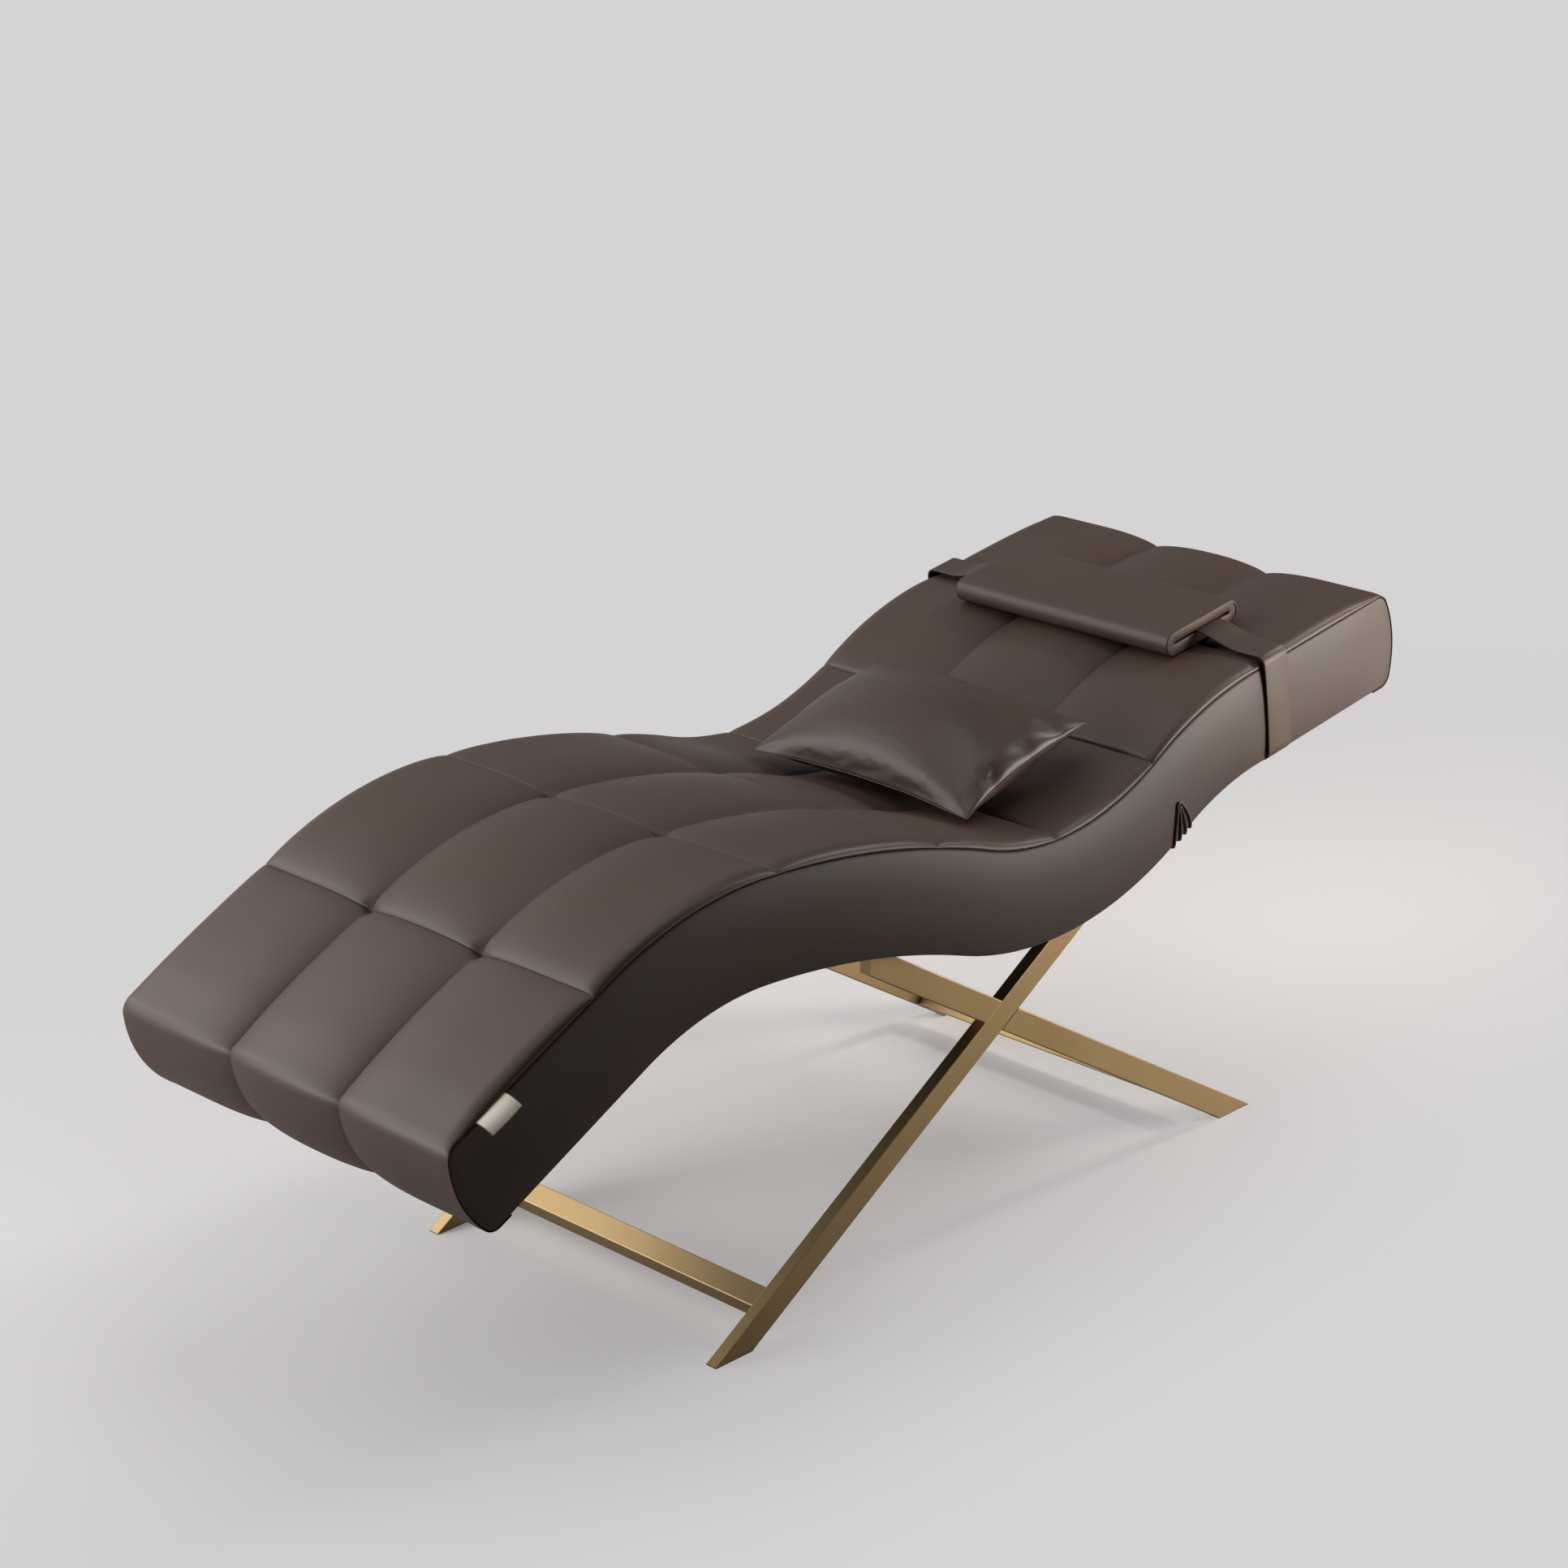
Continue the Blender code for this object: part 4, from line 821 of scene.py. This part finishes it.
headSlope = float(alongBed(bedLength)[2][0])
padMiddle = onBed(np.array([pad["station"]]), np.array([pad["height"]]))
padPlace = Matrix.Translation((0.0, padMiddle[0][0], padMiddle[1][0])) @ Matrix.Rotation(headSlope, 4, "X")


def stadium(depth, thickness):
    radius = thickness / 2
    flat = depth / 2 - radius
    edgeSteps, flatSteps = pad["outlineSteps"]
    points = []
    for side in (1.0, -1.0):
        points += [(side * (flat + radius * cos(angle)), side * radius * sin(angle))
                   for angle in np.linspace(-quarter, quarter, edgeSteps)]
        points += [(side * flat * (1.0 - 2.0 * share), side * radius)
                   for share in np.linspace(0.0, 1.0, flatSteps + 2)[1:-1]]
    return np.array(points)


def padEnd():
    # Rings of one end as x and outline, from inside the slit, over the face and round the rim
    half, rim, recess = pad["length"] / 2, pad["rim"], pad["recess"]
    edge, share = pad["slitEdge"], pad["rimShare"]
    rimSteps, recessSteps = pad["rimSteps"]
    steps = [(half - rim * (1.0 - sin(angle)), rim * (1.0 - cos(angle)) * share)
             for angle in quarterTurn(rimSteps)]
    steps += [(half - recess * (1.0 - sin(angle)), rim * (share - share * cos(angle)) + pad["recessInset"])
              for angle in np.linspace(quarter, 0.0, recessSteps)[1:]]
    outlines = [(x, stadium(pad["depth"] - 2.0 * inset, pad["thickness"] - 2.0 * inset))
                for x, inset in reversed(steps)]
    slit = stadium(pad["slitDepth"], pad["slitHeight"])
    mouth = stadium(pad["slitDepth"] + edge, pad["slitHeight"] + edge)
    face = outlines[0][1]
    inner = [(half - recess, face + (slit - face) * part) for part in reversed(pad["faceShares"])]
    return [(half - pad["slitReach"], slit), (half - recess - edge, mouth)] + inner + outlines


def makeNeckPad():
    end = padEnd()
    outer = stadium(pad["depth"], pad["thickness"])
    inside = pad["length"] / 2 - pad["bodyInset"]
    steps = [(-x, outline) for x, outline in end]
    steps += [(x, outer) for x in np.linspace(-inside, inside, pad["bodySteps"])] + end[::-1]
    points, faces = joinRings([np.column_stack([np.full(len(outline), x), outline]) for x, outline in steps],
                              closed=True)
    piece = makePiece("neckPad", points, faces, [padLeather], sharpAngle=70)
    piece.data.transform(padPlace)
    return piece


padPiece = makeNeckPad()
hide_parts("neck_pad")
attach(padPiece, "neck_bolster")


# Strap through the pad's slit and round the mattress

strap = {
    "width": 0.054, "thickness": 0.003, "rounding": 0.0012,
    "shift": 0.012,           # towards the head end
    "sideGap": 0.005,
    "bends": (0.013, 0.018),  # radius over the edge and under it
    "belly": 0.0015, "lift": 0.0025, "fall": 0.072,
    "steps": (8, 19, 13, 14),        # in the slit, down to the edge, round a bend and down the side
    "underShares": (0.7, 0.35, 0.0),   # points under the mattress, as shares of the half width
}


def strapPath():
    sideX = halfWidth + strap["sideGap"] + strap["thickness"] / 2
    restZ = (strap["thickness"] - pad["thickness"]) / 2 + strap["lift"]
    underZ = -(pad["height"] + halfThickness + bed["gap"] + strap["thickness"] / 2)
    fallX = pad["length"] / 2 + strap["thickness"]
    upper, lower = strap["bends"]
    slitSteps, fallSteps, bendSteps, sideSteps = strap["steps"]
    half = [(x, 0.0) for x in np.linspace(0.0, pad["length"] / 2, slitSteps)[:-1]]
    for share in np.linspace(0.0, 1.0, fallSteps):
        half.append((fallX + strap["fall"] * share, restZ * share * share * (3.0 - 2.0 * share)))
    for radius, level, start in ((upper, restZ - upper, quarter), (lower, underZ + lower, 0.0)):
        for angle in start - quarterTurn(bendSteps):
            half.append((sideX - radius + radius * cos(angle), level + radius * sin(angle)))
        if start:
            for share in np.linspace(0.0, 1.0, sideSteps)[1:-1]:
                belly = strap["belly"] * sin(pi * share)
                half.append((sideX + belly, restZ - upper + (underZ + lower + upper - restZ) * share))
    half += [(sideX * share, underZ) for share in strap["underShares"]]
    whole = half + [(-x, z) for x, z in reversed(half[1:-1])]
    return [(x, strap["shift"], z) for x, z in whole]


strapPiece = makeBand("neckStrap", strapPath(), strap["width"], strap["thickness"], strap["rounding"],
                      strapLeather, closed=True)
strapPiece.data.transform(padPlace)
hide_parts("neck_strap")
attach(strapPiece, "neck_bolster")
print("neck pad and strap made")


# Pillow

pillow = {
    "length": 0.420, "depth": 0.285, "thickness": 0.116,
    "shift": 0.035, "station": 1.202, "lift": 0.148, "tilt": 14.6,
    "longPinch": 0.060, "shortPinch": 0.045,
    "fullness": (0.54, 0.82),  # along and across, less is fuller
    "underFullness": 0.38,     # the underside's, along
    "crownShare": 0.64,        # the upper panel's share of the thickness
    "earPull": 0.012, "restGap": 0.0010, "steps": (84, 58),
    # Gathers of the upper panel: start on the rim and way inwards, as shares of the half sizes,
    # then reach, half width and depth
    "gathers": ((1.0, 0.62, -1.0, -0.30, 0.075, 0.013, 0.36), (1.0, 0.12, -1.0, -0.10, 0.065, 0.015, 0.22),
                (1.0, -0.42, -1.0, -0.15, 0.060, 0.016, 0.15), (0.93, -1.0, -0.10, 1.0, 0.075, 0.009, 0.28),
                (-0.88, -1.0, 0.30, 1.0, 0.050, 0.010, 0.20), (-1.0, -0.45, 1.0, 0.20, 0.040, 0.010, 0.14),
                (-1.0, 0.30, 1.0, 0.0, 0.050, 0.011, 0.12), (-0.45, 1.0, 0.05, -1.0, 0.045, 0.012, 0.10),
                (0.50, 1.0, -0.05, -1.0, 0.050, 0.012, 0.10)),
    "gatherSpread": 1.5,       # how many times its reach a gather goes on widening
    "gatherFloor": 0.2,        # least share of the fullness left in a gather
    "earPower": 4,             # more draws only the corner itself in
    "rimPower": 8,             # more keeps the wave and the lift closer to the rim
    "rimWave": 0.0003,
    "rimWaves": 5.0,           # along a short side
    "rimLift": 0.007,          # of the near short side, half-way along it
    "rimHold": 11,             # how closely the rim keeps its first shape
    "startSize": 0.97, "frames": 16,
    "cloth": {"quality": 6, "mass": 0.001, "air_damping": 2.0, "tension_stiffness": 15.0,
              "compression_stiffness": 15.0, "shear_stiffness": 5.0, "bending_stiffness": 0.4,
              "use_pressure": True, "uniform_pressure_force": 1.0},
    "seam": (0.0015, 0.000735),   # width of the piping and rounding of its corners
    "fill": 0.6,
}


def pillowGrid():
    # Two panels that share their rim, in the pillow's own frame. The steps lie half-way between even
    # and crowded ones, so that the cloth's edges are alike
    along, across = (0.5 * -np.cos(np.linspace(0.0, pi, count + 1))
                     + 0.5 * np.linspace(-1.0, 1.0, count + 1) for count in pillow["steps"])
    u, v = np.meshgrid(along, across, indexing="ij")
    x = pillow["length"] / 2 * u * (1.0 - pillow["shortPinch"] * (1.0 - v * v))
    y = pillow["depth"] / 2 * v * (1.0 - pillow["longPinch"] * (1.0 - u * u))
    x -= pillow["earPull"] * ((1.0 + u) * (1.0 + v) / 4.0) ** pillow["earPower"]
    long, cross = pillow["fullness"]
    over, under = (pillow["thickness"] * (1.0 - u * u) ** power * (1.0 - v * v) ** cross
                   for power in (long, pillow["underFullness"]))
    upper = np.ones_like(over)
    for startX, startY, wayX, wayY, reach, breadth, depth in pillow["gathers"]:
        start = np.array([startX * pillow["length"], startY * pillow["depth"]]) / 2
        way = np.array([wayX * pillow["length"], wayY * pillow["depth"]])
        way /= np.hypot(*way)
        inward = (x - start[0]) * way[0] + (y - start[1]) * way[1]
        aside = (x - start[0]) * way[1] - (y - start[1]) * way[0]
        spreading = breadth * (1.0 + np.clip(inward / reach, 0.0, pillow["gatherSpread"]))
        upper -= depth * np.exp(-(aside / spreading) ** 2) * np.exp(-(np.maximum(inward, 0.0) / reach) ** 2)
    power = pillow["rimPower"]
    edge = np.maximum(np.abs(u), np.abs(v)) ** power
    wave = pillow["rimWave"] * edge * np.sin(pillow["rimWaves"] * pi * v) * np.abs(u) ** power
    wave = wave + pillow["rimLift"] * np.maximum(u, 0.0) ** power * (1.0 - v * v)
    share = pillow["crownShare"]
    return x, y, share * over * np.maximum(upper, pillow["gatherFloor"]) + wave, wave - (1.0 - share) * under


def pillowShell():
    x, y, upper, lower = pillowGrid()
    rows, columns = x.shape
    top = np.arange(rows * columns).reshape(rows, columns)
    base = top.copy()
    base[1:-1, 1:-1] = top.size + np.arange((rows - 2) * (columns - 2)).reshape(rows - 2, columns - 2)
    under = np.stack([x, y, lower], axis=-1)[1:-1, 1:-1]
    points = np.concatenate([np.stack([x, y, upper], axis=-1).reshape(-1, 3), under.reshape(-1, 3)])
    faces = []
    for numbers, way in ((top, 1), (base, -1)):
        corners = np.stack([numbers[:-1, :-1], numbers[1:, :-1], numbers[1:, 1:], numbers[:-1, 1:]], axis=-1)
        faces += corners.reshape(-1, 4)[:, ::way].tolist()
    return points, faces, gridRim(rows, columns)


def inflate(points, faces):
    # The leather, a little too small at first, blown up by the filling
    mesh = bpy.data.meshes.new("case")
    mesh.from_pydata([tuple(point) for point in points * pillow["startSize"]], [], faces)
    case = addObject("case", mesh)
    modifier = case.modifiers.new("inflate", "CLOTH")
    assign(modifier.settings, pillow["cloth"])
    modifier.settings.effector_weights.gravity = 0.0
    modifier.collision_settings.use_collision = False
    modifier.point_cache.frame_start = 1
    modifier.point_cache.frame_end = pillow["frames"]
    for frameNumber in range(1, pillow["frames"] + 1):
        scene.frame_set(frameNumber)
    result = shownMesh(case)
    blown = np.array([tuple(vertex.co) for vertex in result.vertices])
    bpy.data.objects.remove(case)
    bpy.data.meshes.remove(result)
    scene.frame_set(1)
    return blown


def sized(points, rim):
    low, high = points.min(axis=0), points.max(axis=0)
    size = np.array([pillow["length"], pillow["depth"], pillow["thickness"]])
    middle = (low + high) / 2
    middle[2] = points[rim, 2].mean()
    return (points - middle) * size / (high - low)


def makePillow():
    start, faces, rim = pillowShell()
    points = sized(start, rim)
    halves = np.array([pillow["length"], pillow["depth"]]) / 2
    hold = np.clip(np.abs(points[:, :2]) / halves, 0.0, 1.0).max(axis=1)[:, None] ** pillow["rimHold"]
    points = points * hold + sized(inflate(start, faces), rim) * (1.0 - hold)
    centre = onBed(np.array([pillow["station"]]), np.array([pillow["lift"]]))
    place = Matrix.Translation((pillow["shift"], centre[0][0], centre[1][0]))
    place = place @ Matrix.Rotation(radians(pillow["tilt"]), 4, "X")
    points = points @ np.array(place.to_3x3()).T + np.array(place.translation)
    stations, heights = placeOnBed(points[:, 1], points[:, 2])
    floorHeight = halfThickness + quiltHeight(points[:, 0], stations) + pillow["restGap"]
    low = heights < floorHeight
    points[low] = bedSpot(points[low, 0], stations[low], floorHeight[low])
    case = makePiece("pillowCase", points, faces, [pillowLeather])
    smooth = case.modifiers.new("smooth", "SUBSURF")
    smooth.levels = smooth.render_levels = 1
    piece = addObject("pillowCover", shownMesh(case))
    bpy.data.objects.remove(case)
    width, rounding = pillow["seam"]
    seam = makeBand("pillowSeam", points[rim], width, width, rounding, pillowLeather, closed=True)
    return piece, seam


pillowPiece, pillowSeam = makePillow()
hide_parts("pillow")
for piece in (pillowPiece, pillowSeam):
    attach(piece, "pillow")
print("pillow made")


# Dust cover under the board, and the staples that hold it

cover = {
    "thickness": 0.002,
    "stepShares": (0.0, 0.04, 0.27, 0.5, 0.73, 0.96),   # of a row, where the board's facets meet
    "stapleEvery": 0.045,
    "stapleInset": 0.009,
    "endRowShare": 0.9,       # length of a row across an end, as a share of the width between the side rows
    "stapleWidth": 0.010, "stapleWire": 0.0007, "stapleDepth": 0.0015,
}


def coverStations():
    # The same stations as the board's facets, so that the cloth lies flat on it
    room = endReach + bed["edgeRadius"] / 2
    end = bed["lip"] + bed["gap"]
    stations = [end]
    for low, high in zip(rowBounds, rowBounds[1:]):
        for share in cover["stepShares"]:
            station = low + (high - low) * share
            if room < station < bedLength - room and end < station < bedLength - end:
                stations.append(station)
    return np.array(stations + [bedLength - end])


def makeDustCover():
    half = halfWidth - sideTuck
    low, high = -halfThickness, cover["thickness"] - halfThickness
    corners = ((half, low), (half, high), (-half, high), (-half, low))
    points, faces = joinRings([[bedPoint(x, station, height) for x, height in corners]
                               for station in coverStations()])
    return makePiece("dustCover", points, faces, [dustCloth], sharpAngle=40)


dustPiece = makeDustCover()
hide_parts("dust_cover")
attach(dustPiece, "bed")


def stapleMesh():
    # A wire bridge whose legs go into the board
    half, wire, depth = cover["stapleWidth"] / 2, cover["stapleWire"] / 2, cover["stapleDepth"]
    path = ((-half, depth), (-half, -wire), (-half + 2.0 * wire, -2.0 * wire),
            (half - 2.0 * wire, -2.0 * wire), (half, -wire), (half, depth))
    octagon = ((-1, 0), (-0.7, -0.7), (0, -1), (0.7, -0.7), (1, 0), (0.7, 0.7), (0, 1), (-0.7, 0.7))
    rings = []
    for index, (x, z) in enumerate(path):
        before, after = path[max(index - 1, 0)], path[min(index + 1, len(path) - 1)]
        run = Vector((after[0] - before[0], after[1] - before[1])).normalized()
        rings.append([(x - run.y * a * wire, b * wire, z + run.x * a * wire) for a, b in octagon])
    points, faces = joinRings(rings)
    return makePiece("staple", points, faces, [boltSteel])


def stapleTree():
    tree, start = startTree("stapleRow", (("Spacing", "Float"), ("Staple", "Object")))
    spaced = addNode(tree, "GeometryNodeCurveToPoints",
                     {"Curve": start["Geometry"], "Length": start["Spacing"]}, mode="LENGTH")
    shape = addNode(tree, "GeometryNodeObjectInfo", {"Object": start["Staple"]})
    turn = addNode(tree, "FunctionNodeAlignEulerToVector", {"Vector": spaced.outputs["Tangent"]},
                   axis="X", pivot_axis="AUTO")
    row = addNode(tree, "GeometryNodeInstanceOnPoints", {
        "Points": spaced.outputs["Points"], "Instance": shape.outputs["Geometry"],
        "Rotation": turn.outputs["Rotation"]})
    return finishTree(tree, row.outputs[0], start["Material"])


def makeStaples():
    half = innerX - cover["stapleInset"]
    stations = coverStations()
    stations[0] += cover["stapleInset"]
    stations[-1] -= cover["stapleInset"]
    low = np.full(len(stations), -halfThickness)
    across = np.array([-half, half]) * cover["endRowShare"]
    paths = [bedSpot(x, stations, low) for x in (half, -half)]
    paths += [bedSpot(across, np.full(2, station), low[:2]) for station in (stations[0], stations[-1])]
    staple = stapleMesh()
    values = {"Spacing": cover["stapleEvery"], "Staple": staple, "Material": boltSteel}
    piece = evaluateTree(pathCurve(paths), stapleTree(), values, "staples")
    bpy.data.objects.remove(staple)
    return piece


staples = makeStaples()
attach(staples, "bed")
print("dust cover stapled")


# Finishes of the pieces that keep their CAD shape

finishes = {   # by a part of the node's name
    "base_board": plywood, "leg_long": risingBrass, "leg_upper": fallingBrass, "leg_lower": fallingBrass,
    "crossbar": acrossBrass, "mount_plate": plateSteel, "bolt": boltSteel, "glide": glidePlastic,
}
for node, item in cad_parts.items():
    for part, material in finishes.items():
        if part in node:
            for slot in item.material_slots:
                slot.material = material
print("base finished")


# Floor, backdrop and light

studio = {
    "floorSize": 60.0,
    "floor": (0.72, 0.71, 0.71),
    "floorLight": (0.76, 0.75, 0.75),
    "floorBounce": 0.38,          # how much of its colour the floor shows to diffuse light
    "floorMirror": 0.42,          # the same for reflections
    "floorRoughness": (0.38, 0.60),
    "floorSpeck": (220.0, 0.15, 0.0004),   # scale, strength and height
    "floorCloud": 0.8,
    "backdrop": (0.665, 0.652, 0.657),
    "shade": (-0.45, -0.25, 0.90, 0.33),   # middle of the shaded patch, and its scale along X and Y
    "fade": (0.30, 1.15, 0.26),   # where the patch ends, and the backdrop's share inside it
    "mirrorFade": (1.5, 3.5),     # where the floor passes into the backdrop in reflections
    "skyAim": (-0.91, 0.0, 0.41),
    "skyPower": 3.0,              # more makes the lit side of the sky narrower
    "skyColour": (1.0, 0.985, 0.97),
    "sky": 0.77,
}


def mixWithBackdrop(tree, kind, factor, shader, output):
    backdrop = addNode(tree, kind, {"Color": (*studio["backdrop"], 1.0), "Strength": 1.0})
    mix = addNode(tree, "ShaderNodeMixShader", {0: factor, 1: shader.outputs[0], 2: backdrop.outputs[0]})
    tree.links.new(mix.outputs[0], tree.nodes[output].inputs["Surface"])


def paleFloor(tree):
    place = objectPlace(tree)
    scale, strength, height = studio["floorSpeck"]
    speck = noise(tree, place, scale)
    rays = addNode(tree, "ShaderNodeLightPath").outputs
    # The bed gets less of the floor's light than the camera, so that its sides stay dark
    bounced, mirrored = ([part * studio[key] for part in studio["floor"]]
                         for key in ("floorBounce", "floorMirror"))
    pale = clouded(tree, place, studio["floorCloud"], studio["floor"], studio["floorLight"])
    dim = blendColours(tree, rays["Is Glossy Ray"], bounced, mirrored)
    midX, midY, scaleX, scaleY = studio["shade"]
    patch = addNode(tree, "ShaderNodeMapping", {"Vector": place, "Scale": (scaleX, scaleY, 1.0),
                                                "Location": (-midX * scaleX, -midY * scaleY, 0.0)})
    low, high, share = studio["fade"]
    away = vectorValue(tree, "LENGTH", {0: patch.outputs[0]})
    fade = addNode(tree, "ShaderNodeMapRange",
                   {"Value": away, "From Min": low, "From Max": high, "To Min": share},
                   interpolation_type="SMOOTHSTEP")
    distant = spread(tree, vectorValue(tree, "LENGTH", {0: place}), 0.0, 1.0, *studio["mirrorFade"])
    seen = calculate(tree, "MULTIPLY", fade.outputs["Result"], rays["Is Camera Ray"])
    factor = calculate(tree, "MAXIMUM", seen, calculate(tree, "MULTIPLY", distant, rays["Is Glossy Ray"]))
    mixWithBackdrop(tree, "ShaderNodeEmission", factor, tree.nodes["Principled BSDF"], "Material Output")
    return {"Base Color": blendColours(tree, rays["Is Camera Ray"], dim, pale),
            "Roughness": spread(tree, speck, *studio["floorRoughness"]),
            "Normal": bumps(tree, (speck, strength, height))}


def addFloor():
    half = studio["floorSize"] / 2
    mesh = bpy.data.meshes.new("floor")
    mesh.from_pydata([(-half, -half, 0.0), (half, -half, 0.0), (half, half, 0.0), (-half, half, 0.0)], [],
                     [(0, 1, 2, 3)])
    mesh.materials.append(newMaterial("paleFloor", paleFloor))
    addObject("floor", mesh)


def addWorld():
    # Soft light from one side of the room, and the backdrop for the camera
    world = bpy.data.worlds.new("studio")
    world.use_nodes = True
    scene.world = world
    tree = world.node_tree
    direction = addNode(tree, "ShaderNodeTexCoord").outputs["Generated"]
    facing = vectorValue(tree, "DOT_PRODUCT", {0: direction, 1: studio["skyAim"]})
    lobe = calculate(tree, "POWER", calculate(tree, "MAXIMUM", facing, 0.0), studio["skyPower"])
    soft = tree.nodes["Background"]
    setInputs(tree, soft, {"Color": (*studio["skyColour"], 1.0),
                           "Strength": calculate(tree, "MULTIPLY", lobe, studio["sky"])})
    seen = addNode(tree, "ShaderNodeLightPath").outputs["Is Camera Ray"]
    mixWithBackdrop(tree, "ShaderNodeBackground", seen, soft, "World Output")


def addLamp(name, place, aim, size, power, colour=(1.0, 1.0, 1.0), spreadAngle=180.0):
    data = bpy.data.lights.new(name, "AREA")
    data.shape = "RECTANGLE"
    data.size, data.size_y = size
    data.energy = power
    data.color = colour
    data.spread = radians(spreadAngle)
    item = addObject(name, data)
    item.location = place
    item.rotation_euler = (Vector(aim) - Vector(place)).to_track_quat("-Z", "Y").to_euler()
    item.visible_camera = False


addFloor()
addWorld()
addLamp("footSoftbox", (-3.0, -2.5, 2.9), (0.0, -0.5, 0.5), (3.0, 3.0), 108.0)
addLamp("endSoftbox", (-1.3, -3.3, 1.0), (0.0, -0.9, 0.25), (1.8, 1.0), 46.0)
addLamp("headSoftbox", (1.6, 1.9, 0.85), (0.33, 1.6, 0.85), (1.4, 1.0), 34.0, (1.0, 0.94, 0.88), 110.0)
addLamp("topSoftbox", (-0.1, 0.0, 4.2), (0.0, 0.0, 0.4), (2.2, 2.2), 26.0)
addLamp("backSoftbox", (1.0, 3.9, 3.8), (0.0, 0.2, 0.3), (0.8, 0.6), 66.0)
print("floor and lights set")
